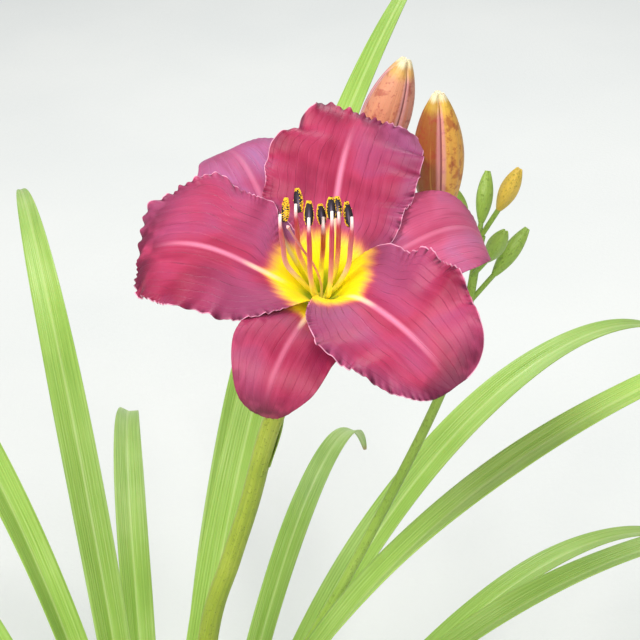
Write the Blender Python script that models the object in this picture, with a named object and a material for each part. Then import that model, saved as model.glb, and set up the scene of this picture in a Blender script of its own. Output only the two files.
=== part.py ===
"""Daylily plant, cut at soil line and standing on its own crown. Metres, +Z up.

The bloom faces -Y and leans back 22 degrees from upright, as the photograph shows it.
Lengths below are named in millimetres and turned into metres when a mesh is made.
"""
import math
import random

import bmesh
import bpy
import numpy as np

MM = 0.001
SEED = 3

# driving dimensions, mm and degrees
BLADE = 0.7              # thickness of every leaf, petal and sepal
GAP = 0.3                # air between two pieces that touch on the real plant
TERRACES = [(44.0, 17.0), (29.5, 23.0), (17.0, 28.5)]    # radius and height of the crown's steps
BLOOM_AT = (80.0, -40.0, 500.0)    # throat floor of the open bloom
BLOOM_TILT = 22.0        # lean of the bloom's axis from upright toward -Y
TUBE_LENGTH = 34.0       # perianth tube with the ovary under it
PETAL_RING = 3.2         # radius of the inner whorl where it leaves the tube
SEPAL_RING = 4.6
SEPAL_DROP = 1.8         # the outer whorl starts this much lower
STAMEN_RING = 1.7
FILAMENT_RADIUS = 0.95
ANTHER_WIDTH = 3.5
ANTHER_FLAT = 0.66       # its thickness over its width
STEM_RADII = (5.2, 3.9)            # flowering scape at the foot and under the fork
PEDICEL_RADIUS = 2.7
BRANCH_RADII = (3.3, 2.7)
YOUNG_RADII = (3.2, 2.0)
BUD_RADIUS = 10.9

# One line for each tepal. base, turn and sweep place it round the axis; length; phi are the
# angles to the axis at the base, past the flare and added at the tip; flare is where the
# bend ends; width, fullness and blunt shape the outline; cup and twist bend the section;
# reach is how far round the axis each side may go in the throat; lobes widen or narrow
# each side a little at the places of LOBE_AT.
TEPALS = {
    "petal_top": dict(base=75, turn=13, sweep=-20, length=83.5, phi=(30.9, 81.6, 20),
                      flare=0.49, width=29.2, full=1.19, blunt=0.14, cup=0.0, twist=8,
                      reach=(58, 40),
                      lobes=((-0.08, 0.01, 0.06, 0.09, 0.16),
                             (0.24, 0.1, 0.06, -0.22, -0.26))),
    "petal_left": dict(base=195, turn=-40, sweep=25, length=80.6, phi=(31.5, 73.5, 66),
                       flare=0.51, width=34.2, full=0.91, blunt=0.15, cup=0.07, twist=1,
                       reach=(44, 50),
                       lobes=((0.2, -0.05, 0.11, -0.05, -0.17),
                              (0.03, -0.08, -0.03, -0.08, -0.13))),
    "petal_right": dict(base=315, turn=-9, sweep=6, length=84.1, phi=(28.8, 73.2, 48),
                        flare=0.54, width=27.0, full=1.0, blunt=0.33, cup=0.39, twist=16,
                        reach=(52, 58),
                        lobes=((0.02, 0.12, 0.06, -0.02, -0.01),
                               (-0.16, -0.02, 0.06, 0.0, 0.03))),
    "sepal_bottom": dict(base=255, turn=-6, sweep=0, length=77.5, phi=(38.0, 76.0, 128),
                         flare=0.6, width=19.2, full=1.09, blunt=0.67, cup=0.01, twist=-3,
                         reach=(58, 46),
                         lobes=((0.02, -0.02, 0.04),
                                (-0.04, 0.05, -0.04))),
    "sepal_right": dict(base=15, turn=20, sweep=-11, length=86.5, phi=(38.3, 86.5, 91),
                        flare=0.46, width=20.3, full=1.12, blunt=0.51, cup=-0.01, twist=11,
                        reach=(46, 42),
                        lobes=((-0.01, -0.01, 0.01),
                               (-0.03, 0.05, 0.0))),
    "sepal_left": dict(base=135, turn=-25, sweep=7, length=92.8, phi=(36.9, 82.5, 68),
                       flare=0.46, width=21.6, full=1.14, blunt=0.57, cup=0.0, twist=-4,
                       reach=(38, 46),
                       lobes=((0.0, 0.03, 0.01),
                              (0.0, -0.06, 0.01))),
}
LOBE_AT = {5: (0.42, 0.55, 0.68, 0.80, 0.92), 3: (0.6, 0.78, 0.92)}   # way along the tepal
LOBE_SPREAD = 0.065
RUFFLES = {  # height in mm, number of waves from base to tip, start of the wave
    "petal_top": (2.2, 5.2, 0.10),
    "petal_left": (1.3, 5.0, 0.55),
    "petal_right": (2.2, 5.4, 0.30),
}

# stamens: filament tip in the bloom's own frame, mm; then its anther, whose middle is so far
# right and up of the tip as one looks into the bloom, its lean in degrees and its length
STAMENS = [
    ((-14.9, 0.5, 50.3), 1.8, 1.9, 4, 8.8),
    ((-9.3, 5.9, 49.6), 0.8, 1.6, -5, 9.0),
    ((-4.5, -3.6, 53.3), 0.0, 1.9, 0, 9.1),
    ((0.7, 2.5, 46.3), -0.7, 1.3, -7, 7.6),
    ((3.8, -1.8, 54.8), -0.3, 1.4, -2, 8.1),
    ((6.4, 5.6, 45.5), -0.5, 2.0, -2, 7.9),
    ((11.1, 1.0, 48.2), -1.3, 1.2, -8.5, 9.4),
]
ANTHER_BEHIND = 2.15     # the anther hangs this far behind its filament's tip
FOOT_ORDER = (6, 4, 2, 1, 3, 5, 7)     # the same seven, going round the throat floor
STIGMA_AT = (-12.0, -9.0, 55.0)

# stems, world mm
SCAPE_PATH = [(0, -1, 29.3), (9, -7, 120), (19, -16, 220), (30, -26, 318), (41, -30, 362),
              (50, -33, 396), (58, -36, 432), (65, -32, 450)]
BRANCH_PATH = [(61, -35, 442), (72, -20, 461), (86, -4, 478), (98, 8, 489)]
YOUNG_PATH = [(11, 5.7, 29.3), (22, 14, 110), (50, 28, 205), (98, 48, 300), (140, 70, 392),
              (153, 84, 458)]
BUD_1 = ((95, 42, 503), (114, 38, 565))
BUD_2 = ((128, 17, 497.5), (126, 16, 560.5))

# leaves: count, ring radius, terrace, first azimuth, length, first rise, bend, half width
TIERS = [
    (12, 36.0, 0, 11, (430, 500), (56, 65), (112, 128), (9.0, 11.5)),
    (11, 23.5, 1, 43.4, (530, 640), (73, 79), (105, 130), (10.0, 12.5)),
    (5, 12.0, 2, 65, (540, 640), (82, 86), (62, 95), (9.0, 11.5)),
]


def clear_scene():
    for obj in list(bpy.data.objects):
        bpy.data.objects.remove(obj, do_unlink=True)


def material(name, color, roughness, metallic=0.0):
    mat = bpy.data.materials.get(name) or bpy.data.materials.new(name)
    mat.use_nodes = True
    shader = mat.node_tree.nodes["Principled BSDF"]
    shader.inputs["Base Color"].default_value = (*color, 1.0)
    shader.inputs["Roughness"].default_value = roughness
    shader.inputs["Metallic"].default_value = metallic
    return mat


def make_object(name, points, faces, mat):
    """points in mm; the faces are turned to look out"""
    mesh = bpy.data.meshes.new(name)
    mesh.from_pydata([tuple(float(c) * MM for c in p) for p in points], [], faces)
    bm = bmesh.new()
    bm.from_mesh(mesh)
    bmesh.ops.recalc_face_normals(bm, faces=bm.faces)
    bm.to_mesh(mesh)
    bm.free()
    obj = bpy.data.objects.new(name, mesh)
    bpy.context.scene.collection.objects.link(obj)
    obj.data.materials.append(mat)
    return obj


def grid_faces(rows, cols, closed=False):
    """triangles over a grid of points stored row by row"""
    faces = []
    for i in range(rows - 1):
        for j in range(cols if closed else cols - 1):
            a, b = i * cols + j, i * cols + (j + 1) % cols
            c, d = b + cols, a + cols
            faces += [(a, b, c), (a, c, d)] if (i + j) % 2 else [(a, b, d), (b, c, d)]
    return faces


def sheet(name, grid, mat):
    """a blade of even thickness from a grid of points (rows, columns, 3)"""
    rows, cols = grid.shape[:2]
    obj = make_object(name, grid.reshape(-1, 3), grid_faces(rows, cols), mat)
    solid = obj.modifiers.new("blade", "SOLIDIFY")
    solid.thickness = BLADE * MM
    solid.offset = 0.0
    solid.use_even_offset = True
    solid.use_rim = True
    return obj


def smooth(x):
    x = np.clip(x, 0.0, 1.0)
    return x * x * (3 - 2 * x)


def curve_points(path, count):
    """a smooth curve through hand-placed points (Catmull-Rom), count points evenly spread"""
    p = [np.array(q, float) for q in path]
    p = [2 * p[0] - p[1]] + p + [2 * p[-1] - p[-2]]
    dense = []
    for a, b, c, d in zip(p, p[1:], p[2:], p[3:]):
        for t in np.linspace(0, 1, 24, endpoint=False):
            dense.append(0.5 * (2 * b + (c - a) * t + (2 * a - 5 * b + 4 * c - d) * t ** 2
                                + (3 * b - a - 3 * c + d) * t ** 3))
    dense.append(p[-2])
    dense = np.array(dense)
    run = np.concatenate([[0], np.cumsum(np.linalg.norm(np.diff(dense, axis=0), axis=1))])
    at = np.linspace(0, run[-1], count)
    return np.stack([np.interp(at, run, dense[:, k]) for k in range(3)], 1)


def tube(name, points, radius, sides, mat, lobes=0.0, turn=0.0, flat=1.0):
    """a stem along points; radius is a number or a function of the way along, 0 to 1"""
    points = np.asarray(points, float)
    n = len(points)
    tangents = np.gradient(points, axis=0)
    side = np.array([1.0, 0.0, 0.0])
    verts = []
    for i, (p, t) in enumerate(zip(points, tangents)):
        t = t / np.linalg.norm(t)
        side = side - t * side.dot(t)
        side /= np.linalg.norm(side)
        other = np.cross(t, side)
        r = radius(i / (n - 1)) if callable(radius) else radius
        for k in range(sides):
            a = 2 * math.pi * k / sides + turn
            rr = r * (1 + lobes * math.cos(3 * (a - turn)))
            verts.append(p + side * rr * math.cos(a) + other * rr * flat * math.sin(a))
    faces = grid_faces(n, sides, closed=True)
    for ring, centre in ((0, points[0]), (n - 1, points[-1])):
        verts.append(centre)
        c = len(verts) - 1
        for k in range(sides):
            faces.append((ring * sides + k, ring * sides + (k + 1) % sides, c))
    return make_object(name, verts, faces, mat)


def fuse(name, objects, mat):
    """joins solids whose ends are sunk into each other into one closed body"""
    base, rest = objects[0], objects[1:]
    group = bpy.data.collections.new(name + "_parts")
    bpy.context.scene.collection.children.link(group)
    for obj in rest:
        bpy.context.scene.collection.objects.unlink(obj)
        group.objects.link(obj)
    union = base.modifiers.new("union", "BOOLEAN")
    union.operation = "UNION"
    union.operand_type = "COLLECTION"
    union.collection = group
    union.solver = "EXACT"
    graph = bpy.context.evaluated_depsgraph_get()
    mesh = bpy.data.meshes.new_from_object(base.evaluated_get(graph), depsgraph=graph)
    base.modifiers.clear()
    base.data = mesh
    base.name = name
    mesh.materials.clear()
    mesh.materials.append(mat)
    for obj in rest:
        bpy.data.objects.remove(obj, do_unlink=True)
    bpy.data.collections.remove(group)
    return base


# the bloom's own frame: x across, y back and up, z out of the throat
def bloom_axes():
    a = math.radians(BLOOM_TILT)
    return (np.array([1.0, 0.0, 0.0]), np.array([0.0, math.cos(a), math.sin(a)]),
            np.array([0.0, -math.sin(a), math.cos(a)]))


def bloom_to_world(points):
    ex, ey, ez = bloom_axes()
    p = np.asarray(points, float)
    return (np.array(BLOOM_AT) + p[..., 0:1] * ex + p[..., 1:2] * ey + p[..., 2:3] * ez)


def tepal_grid(spec, ring, drop, ruffle, rows, cols):
    """points of a petal or sepal: rows from base to tip, columns from edge to edge"""
    steps = 240
    s = np.linspace(0, 1, steps + 1)
    flare = spec["flare"]
    phi0, phi1, phi2 = spec["phi"]
    curl = np.clip((s - flare * 0.85) / (1 - flare * 0.85), 0, 1) ** 1.6
    phi = np.radians(phi0 + (phi1 - phi0) * smooth(s / flare) + phi2 * curl)
    az = np.radians(spec["base"] + spec["turn"] * smooth(s / 0.5) + spec["sweep"] * s ** 2)
    up = np.array([0.0, 0.0, 1.0])
    rad = np.stack([np.cos(az), np.sin(az), 0 * az], -1)
    lat = np.stack([-np.sin(az), np.cos(az), 0 * az], -1)
    tan = np.sin(phi)[:, None] * rad + np.cos(phi)[:, None] * up
    mid = np.zeros((steps + 1, 3))
    mid[1:] = np.cumsum(0.5 * (tan[1:] + tan[:-1]) * spec["length"] / steps, 0)
    mid += ring * rad[0] - drop * up
    nor = -np.cos(phi)[:, None] * rad + np.sin(phi)[:, None] * up

    # rows crowd toward the tip, where the outline turns fast
    u = np.linspace(0, 1, rows)
    S = 0.997 * (1 - (1 - u) ** 1.35)
    T = np.linspace(-1, 1, cols)

    def at(values):
        if values.ndim == 1:
            return np.interp(S, s, values)
        return np.stack([np.interp(S, s, values[:, k]) for k in range(3)], -1)

    C, L, N = at(mid), at(lat), at(nor)
    R = np.hypot(C[:, 0], C[:, 1])
    ph = at(phi)
    wrap = 1 - smooth((S - 0.12) / 0.33)
    width = 3.3 * (1 - S) ** 2 + spec["width"] * np.sin(np.pi * S ** spec["full"]) ** spec["blunt"]
    half = []
    for reach, lobes in zip(spec["reach"], spec["lobes"]):
        a = math.radians(reach)
        room = R * (a * wrap + math.tan(a) * (1 - wrap))
        bulge = 1 + sum(size * np.exp(-((S - place) / LOBE_SPREAD) ** 2)
                        for size, place in zip(lobes, LOBE_AT[len(lobes)]))
        half.append(width * room / (width ** 4 + room ** 4) ** 0.25 * bulge)
    side = np.where(T[None, :] < 0, half[0][:, None], half[1][:, None])
    U = side * T[None, :]

    tw = np.radians(spec["twist"]) * S[:, None]
    B = np.cos(tw) * L + np.sin(tw) * N
    M = np.cos(tw) * N - np.sin(tw) * L
    cup = spec["cup"] * np.sin(np.pi * S ** 0.8)
    off = cup[:, None] * side * T[None, :] ** 2
    flat = C[:, None] + B[:, None] * U[..., None] + M[:, None] * off[..., None]
    ang = np.arctan2(C[:, 1], C[:, 0])[:, None] + U / R[:, None]
    around = np.stack([np.cos(ang), np.sin(ang), 0 * ang], -1)
    nw = -np.cos(ph)[:, None, None] * around + np.sin(ph)[:, None, None] * up
    rolled = around * R[:, None, None] + C[:, None, 2:3] * up + nw * off[..., None]
    k = wrap[:, None, None]
    points = k * rolled + (1 - k) * flat
    normal = k * nw + (1 - k) * M[:, None]
    normal /= np.linalg.norm(normal, axis=-1, keepdims=True)

    if ruffle:
        height, waves, start = ruffle
        grow = np.abs(T)[None, :] ** 2.2 * smooth((S - 0.28) / 0.25)[:, None]
        other = 0.37 * (T > 0)[None, :]
        beat = 0.6 * np.sin(2 * np.pi * (2.3 * S[:, None] + 1.7 * start))
        wave = np.sin(2 * np.pi * (waves * S[:, None] + start + other) + beat)
        points = points + normal * (height * grow * wave)[..., None]
    return points


def make_tepals(petal_mat, sepal_mat):
    for name, spec in TEPALS.items():
        petal = name.startswith("petal")
        ring, drop = (PETAL_RING, 0.0) if petal else (SEPAL_RING, SEPAL_DROP)
        rows, cols = (26, 11) if petal else (17, 9)
        grid = tepal_grid(spec, ring, drop, RUFFLES.get(name), rows, cols)
        sheet(name, bloom_to_world(grid), petal_mat if petal else sepal_mat)


def make_tube(mat):
    """perianth tube and ovary, turned from a profile; two steps carry the whorls"""
    profile = [(0, -GAP), (PETAL_RING + 0.7, -GAP), (PETAL_RING + 0.7, -SEPAL_DROP - GAP),
               (SEPAL_RING + 0.9, -SEPAL_DROP - GAP), (4.6, -8), (3.4, -16), (3.1, -22),
               (3.9, -26), (3.9, -30), (2.9, -TUBE_LENGTH), (0, -TUBE_LENGTH)]
    sides = 14
    points, faces = [(0, 0, profile[0][1])], []
    for r, z in profile[1:-1]:
        for k in range(sides):
            a = 2 * math.pi * k / sides
            points.append((r * math.cos(a), r * math.sin(a), z))
    points.append((0, 0, profile[-1][1]))
    rings = len(profile) - 2
    for k in range(sides):
        m = (k + 1) % sides
        faces.append((0, 1 + k, 1 + m))
        for i in range(rings - 1):
            a, b = 1 + i * sides + k, 1 + i * sides + m
            faces.append((a, b, b + sides, a + sides))
        last = 1 + (rings - 1) * sides
        faces.append((last + k, last + m, len(points) - 1))
    make_object("perianth_tube", bloom_to_world(np.array(points, float)), faces, mat)


def anther_axes():
    """across, along and behind as one looks into the bloom, in the bloom's own frame"""
    lean = math.radians(54)
    return (np.array([1.0, 0.0, 0.0]), np.array([0.0, math.sin(lean), math.cos(lean)]),
            np.array([0.0, math.cos(lean), -math.sin(lean)]))


def filament_path(tip, turn):
    """out of the throat floor, along its wall, and turned up over its last millimetres"""
    tip = np.array(tip, float)
    ring = np.array([math.cos(turn), math.sin(turn), 0.0])
    knee = tip - anther_axes()[1] * 4.2
    low = ring * 6.8 + (0, 0, 11.5)
    path = [ring * STAMEN_RING, ring * 3.9 + (0, 0, 5.5), low]
    for f in (0.33, 0.67):
        path.append(low + (knee - low) * np.array([f ** 0.25, f ** 1.3, f]))
    return path + [knee, tip]


def filament_radius(f):
    swell = FILAMENT_RADIUS * (0.55 + 0.45 * float(smooth(f / 0.2)))
    return swell - 0.33 * float(smooth((f - 0.8) / 0.2))


def make_stamens(filament_mat, anther_mat):
    """each anther hangs behind its filament's tip, held near its middle"""
    across, along, behind = anther_axes()
    for k, (tip, right, up, lean, length) in enumerate(STAMENS):
        turn = math.radians(360 / 7 * (0.75 + FOOT_ORDER.index(k + 1)))
        points = curve_points(filament_path(tip, turn), 13)
        tube(f"filament_{k + 1}", bloom_to_world(points), filament_radius, 6, filament_mat)
        middle = np.array(tip) + across * right + along * up + behind * ANTHER_BEHIND
        a = math.radians(lean)
        pointing = across * math.sin(a) + along * math.cos(a)
        spine = [middle + pointing * length * f for f in np.linspace(-0.5, 0.5, 8)]
        tube(f"anther_{k + 1}", bloom_to_world(np.array(spine)),
             lambda f: ANTHER_WIDTH / 2 * (0.35 + 0.65 * math.sin(math.pi * (0.12 + 0.84 * f))),
             8, anther_mat, flat=ANTHER_FLAT)


def make_pistil(mat):
    path = [(0, 0, 0), (0, 0, 9), (-3, -2, 24), (-8, -5.5, 40), STIGMA_AT]
    points = curve_points(path, 10)
    tube("pistil", bloom_to_world(points),
         lambda f: 0.42 + 0.45 * max(0.0, f - 0.9) * 10, 6, mat)


def make_bud(name, ends, mat, turn=0.0):
    a, b = (np.array(p, float) for p in ends)
    points = [a + (b - a) * f for f in (0, 0.03, 0.1, 0.2, 0.33, 0.47, 0.6, 0.73, 0.85, 0.94, 1)]

    def radius(f):
        f = (0, 0.03, 0.1, 0.2, 0.33, 0.47, 0.6, 0.73, 0.85, 0.94, 1)[round(f * 10)]
        swell = math.sin(math.pi * min(1, 0.06 + 0.9 * f) ** 1.25) ** 0.75
        return BUD_RADIUS * max(0.26, swell * (1 - 0.12 * f))
    return tube(name, points, radius, 12, mat, lobes=0.05, turn=turn)


def leaf_grid(az, drift, r0, z0, length, rise, bend, width, fold, twist, rows=13):
    """a keeled blade that rises from the crown and arches over in its own plane"""
    steps = 160
    s = np.linspace(0, 1, steps + 1)
    lift = np.radians(rise - bend * s ** 1.55)
    a = np.radians(az + drift * s ** 1.5)
    rad = np.stack([np.cos(a), np.sin(a), 0 * a], -1)
    lat = np.stack([-np.sin(a), np.cos(a), 0 * a], -1)
    up = np.array([0.0, 0.0, 1.0])
    tan = np.cos(lift)[:, None] * rad + np.sin(lift)[:, None] * up
    nor = -np.sin(lift)[:, None] * rad + np.cos(lift)[:, None] * up
    mid = np.zeros((steps + 1, 3))
    mid[1:] = np.cumsum(0.5 * (tan[1:] + tan[:-1]) * length / steps, 0)
    mid += r0 * rad[0] + z0 * up
    S = np.linspace(0, 0.995, rows)
    half = width * (0.5 + 0.5 * smooth(S / 0.3)) * (1 - S ** 3.2) ** 0.8 + 0.9 * S
    angle = np.radians(fold * (1 - smooth(S / 0.8)) + 16)
    spin = np.radians(twist) * S ** 1.5
    T = np.array([-1.0, 0.0, 1.0])
    out = np.zeros((rows, 3, 3))
    for i in range(rows):
        c, l, n = (np.array([np.interp(S[i], s, v[:, k]) for k in range(3)])
                   for v in (mid, lat, nor))
        b = l * math.cos(spin[i]) + n * math.sin(spin[i])
        m = n * math.cos(spin[i]) - l * math.sin(spin[i])
        for j, t in enumerate(T):
            out[i, j] = (c + b * t * half[i] * math.cos(angle[i])
                         + m * abs(t) * half[i] * math.sin(angle[i]))
    return out


def leaf_specs():
    """tiers of leaves round the crown; inner ones stand steeper and pass over the outer"""
    rng = random.Random(SEED)
    specs = []
    for count, r0, step, first, length, rise, bend, width in TIERS:
        for k in range(count):
            az = 360 * k / count + first + rng.uniform(-3, 3)
            z0 = TERRACES[step][1] + GAP + 0.3
            specs.append(dict(az=az, drift=rng.uniform(-7, 7), r0=r0, z0=z0,
                              length=rng.uniform(*length), rise=rng.uniform(*rise),
                              bend=rng.uniform(*bend), width=rng.uniform(*width),
                              fold=rng.uniform(38, 46), twist=rng.uniform(-25, 25)))
    return specs


def make_leaves(mat):
    for k, spec in enumerate(leaf_specs()):
        sheet(f"leaf_{k + 1:02d}", leaf_grid(**spec), mat)


def make_crown(mat):
    """the cut stem base of the clump, in three terraces that carry the tiers of leaves"""
    edge, low = TERRACES[0]
    profile = [(edge - 4, 0), (edge, 6), (edge, low - 3), (edge - 1.5, low)]
    for r, z in TERRACES[1:]:
        profile += [(r + 0.8, low), (r, z)]
        low = z
    sides = 24
    points, faces = [(0, 0, 0)], []
    for i, (r, z) in enumerate(profile):
        for k in range(sides):
            a = 2 * math.pi * k / sides
            wob = 1 + (0.05 * math.sin(3 * a + 0.8) + 0.03 * math.sin(5 * a) if i < 4 else 0)
            points.append((r * wob * math.cos(a), r * wob * math.sin(a), z))
    points.append((0, 0, profile[-1][1]))
    top = len(points) - 1
    for k in range(sides):
        m = (k + 1) % sides
        faces.append((0, 1 + m, 1 + k))
        for i in range(len(profile) - 1):
            a, b = 1 + i * sides + k, 1 + i * sides + m
            faces.append((a, b, b + sides, a + sides))
        last = 1 + (len(profile) - 1) * sides
        faces.append((last + k, last + m, top))
    make_object("crown", points, faces, mat)


def stem_radius(big, small):
    return lambda f: big + (small - big) * f ** 1.5


def make_scapes(stem_mat, bud_mat):
    ez = bloom_axes()[2]
    foot = np.array(BLOOM_AT) - ez * (TUBE_LENGTH + 2 * GAP)
    main = tube("scape_main", curve_points(SCAPE_PATH, 26), stem_radius(*STEM_RADII), 10, stem_mat)
    pedicel = curve_points([(60, -36, 438), (69, -31, 453), foot - ez * 7, foot], 8)
    branch = curve_points(BRANCH_PATH, 8)
    parts = [main, tube("pedicel", pedicel, PEDICEL_RADIUS, 8, stem_mat),
             tube("branch", branch, stem_radius(*BRANCH_RADII), 8, stem_mat)]
    for k, (low, high) in enumerate((BUD_1, BUD_2)):
        low, high = np.array(low, float), np.array(high, float)
        along = (high - low) / np.linalg.norm(high - low)
        end = low - along * 2 * GAP
        start = np.array(BRANCH_PATH[-2 if k else -1], float)
        start = np.array((93.0, 4.0, 484.5)) if k else np.array((96.0, 6.0, 487.0))
        path = curve_points([start, (start + end) / 2 + (0, 0, -2), end - along * 5, end], 7)
        parts.append(tube(f"stalk_{k}", path, 2.4, 8, stem_mat))
    fuse("scape", parts, stem_mat)

    young = [tube("young_main", curve_points(YOUNG_PATH, 22), stem_radius(*YOUNG_RADII), 8,
                  stem_mat)]
    tip = np.array(YOUNG_PATH[-1], float)
    rng = random.Random(SEED + 1)
    for k in range(6):
        a = 2 * math.pi * (k * 0.382) + 0.4
        height = -26 + 7.5 * k
        root = np.array([np.interp(tip[2] + height - 8, *zip(*[(p[2], p[c]) for p in YOUNG_PATH]))
                         for c in range(3)])
        reach = np.array([math.cos(a) * (16 - 1.6 * k), math.sin(a) * (16 - 1.6 * k), 16.0])
        size = rng.uniform(3.6, 5.2)
        path = curve_points([root, root + reach * 0.45, root + reach], 5)
        young.append(tube(f"young_stalk_{k}", path, 1.2, 6, stem_mat))
        bud = curve_points([root + reach * 0.9, root + reach * 1.9 + (0, 0, 5)], 7)
        young.append(tube(f"young_bud_{k}", bud,
                          lambda f, z=size: z * (0.3 + 0.7 * math.sin(math.pi * (0.1 + 0.8 * f))),
                          8, stem_mat))
    fuse("young_scape", young, stem_mat)


def main():
    clear_scene()
    leaf = material("leaf_green", (0.36, 0.52, 0.12), 0.45)
    stem = material("stem_green", (0.42, 0.52, 0.08), 0.42)
    crown = material("crown_pale", (0.62, 0.62, 0.38), 0.6)
    petal = material("petal_rose", (0.55, 0.07, 0.16), 0.5)
    sepal = material("sepal_rose", (0.52, 0.09, 0.19), 0.5)
    throat = material("tube_yellow", (0.72, 0.66, 0.10), 0.45)
    filament = material("filament_red", (0.75, 0.22, 0.16), 0.4)
    anther = material("anther_plum", (0.06, 0.02, 0.05), 0.55)
    pistil = material("style_pink", (0.85, 0.50, 0.42), 0.4)
    bud = material("bud_orange", (0.66, 0.26, 0.10), 0.45)

    make_crown(crown)
    make_leaves(leaf)
    make_scapes(stem, bud)
    make_tube(throat)
    make_tepals(petal, sepal)
    make_stamens(filament, anther)
    make_pistil(pistil)
    make_bud("bud_1", BUD_1, bud)
    make_bud("bud_2", BUD_2, bud, turn=0.6)


main()
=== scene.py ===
# %% [markdown]
# # A daylily in bloom
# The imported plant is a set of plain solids. This lesson dresses it: every blade, petal and
# stem is remade finer in the same place, and gets a finish made from nodes.
# Everything is worked out in millimetres and turned into metres when it goes into a mesh.

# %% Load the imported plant
import math
import random

import bpy
import numpy as np
from mathutils import Matrix, Vector


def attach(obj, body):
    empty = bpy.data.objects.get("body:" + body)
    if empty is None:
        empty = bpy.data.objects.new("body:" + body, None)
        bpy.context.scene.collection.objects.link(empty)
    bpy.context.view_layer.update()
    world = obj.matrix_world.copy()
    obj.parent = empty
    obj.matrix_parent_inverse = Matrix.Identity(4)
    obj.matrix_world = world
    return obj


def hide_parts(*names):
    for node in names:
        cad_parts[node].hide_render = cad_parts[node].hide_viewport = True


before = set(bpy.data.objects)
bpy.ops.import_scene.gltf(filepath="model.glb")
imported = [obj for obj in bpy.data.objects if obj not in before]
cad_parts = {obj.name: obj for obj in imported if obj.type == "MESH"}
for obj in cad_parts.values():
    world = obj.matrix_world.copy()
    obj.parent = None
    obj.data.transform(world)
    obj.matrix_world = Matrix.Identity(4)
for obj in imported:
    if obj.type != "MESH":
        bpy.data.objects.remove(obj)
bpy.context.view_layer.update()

MM = 0.001
print("nodes in the frame:", len(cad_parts))

# %% [markdown]
# ## The camera
# The photograph looks along +Y and 32 degrees down at the open bloom, from well back, so
# that the perspective is gentle. Lengths are in millimetres. A millimetre at the bloom takes
# 2.6 pixels of a picture that is 640 pixels high, and the lens follows from that.

# %% Camera
LOOK_DOWN = math.radians(32)
AIM = Vector((79.5, -44.4, 493.0)) * MM
AWAY = 690.0
SENSOR = 24
PICTURE_SIDE = 640
PIXELS_PER_MM = 2.6

to_right = Vector((1, 0, 0))
to_top = Vector((0, math.sin(LOOK_DOWN), math.cos(LOOK_DOWN)))
to_eye = Vector((0, -math.cos(LOOK_DOWN), math.sin(LOOK_DOWN)))
camera = bpy.data.objects.new("camera", bpy.data.cameras.new("camera"))
bpy.context.scene.collection.objects.link(camera)
camera.data.sensor_fit = "VERTICAL"
camera.data.sensor_height = SENSOR
camera.data.lens = SENSOR * PIXELS_PER_MM * AWAY / PICTURE_SIDE
camera.data.clip_end = 20
turned = Matrix((to_right, to_top, to_eye)).transposed().to_4x4()
camera.matrix_world = Matrix.Translation(AIM + to_eye * AWAY * MM) @ turned
bpy.context.scene.camera = camera
print("lens:", round(camera.data.lens, 1), "mm")


# %% [markdown]
# ## Studio
# A plain pale floor and soft light: a strong lamp high on the left, one in front that reaches
# into the throat, one behind that lets the thin petals glow, and an even pale sky.

# %% Floor and lamps
LIT_SPOT = Vector((0.06, -0.02, 0.42))
FLOOR_SIDE, FLOOR_Z = 24, -0.0004


def lamp(name, at, size, power, colour):
    data = bpy.data.lights.new(name, "AREA")
    data.shape = "DISK"
    data.size = size
    data.energy = power
    data.color = colour
    obj = bpy.data.objects.new(name, data)
    bpy.context.scene.collection.objects.link(obj)
    obj.location = at
    obj.rotation_euler = (LIT_SPOT - Vector(at)).to_track_quat("-Z", "Y").to_euler()
    return obj


lamp("lamp_key", (-0.7, -0.7, 1.7), 0.6, 22, (1.0, 0.98, 0.94))
lamp("lamp_front", (0.3, -1.25, 1.7), 0.8, 15, (1.0, 0.99, 0.97))
lamp("lamp_back", (0.3, 1.5, 1.5), 0.9, 14, (0.97, 0.99, 1.0))

sky = bpy.data.worlds.new("sky")
sky.use_nodes = True
backdrop = sky.node_tree.nodes["Background"].inputs
backdrop["Color"].default_value = (0.93, 0.95, 0.97, 1)
backdrop["Strength"].default_value = 0.45
bpy.context.scene.world = sky
bpy.context.scene.view_settings.view_transform = "Standard"

bpy.ops.object.select_all(action="DESELECT")
bpy.ops.mesh.primitive_plane_add(size=FLOOR_SIDE, location=(0, 0, FLOOR_Z))
floor = bpy.context.object
floor.name = "floor"


# %% [markdown]
# ## A small kit for finishes
# A finish is a Principled shader whose colour, roughness and bump come from other nodes.
# These helpers add one node each and hand back its output, so a recipe reads as a list of
# steps. Colours are written as they look on a screen and turned into linear light.

# %% Node helpers
def tint(code):
    out = []
    for k in (0, 2, 4):
        c = int(code[k:k + 2], 16) / 255
        out.append(c / 12.92 if c <= 0.04045 else ((c + 0.055) / 1.055) ** 2.4)
    return (*out, 1.0)


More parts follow.
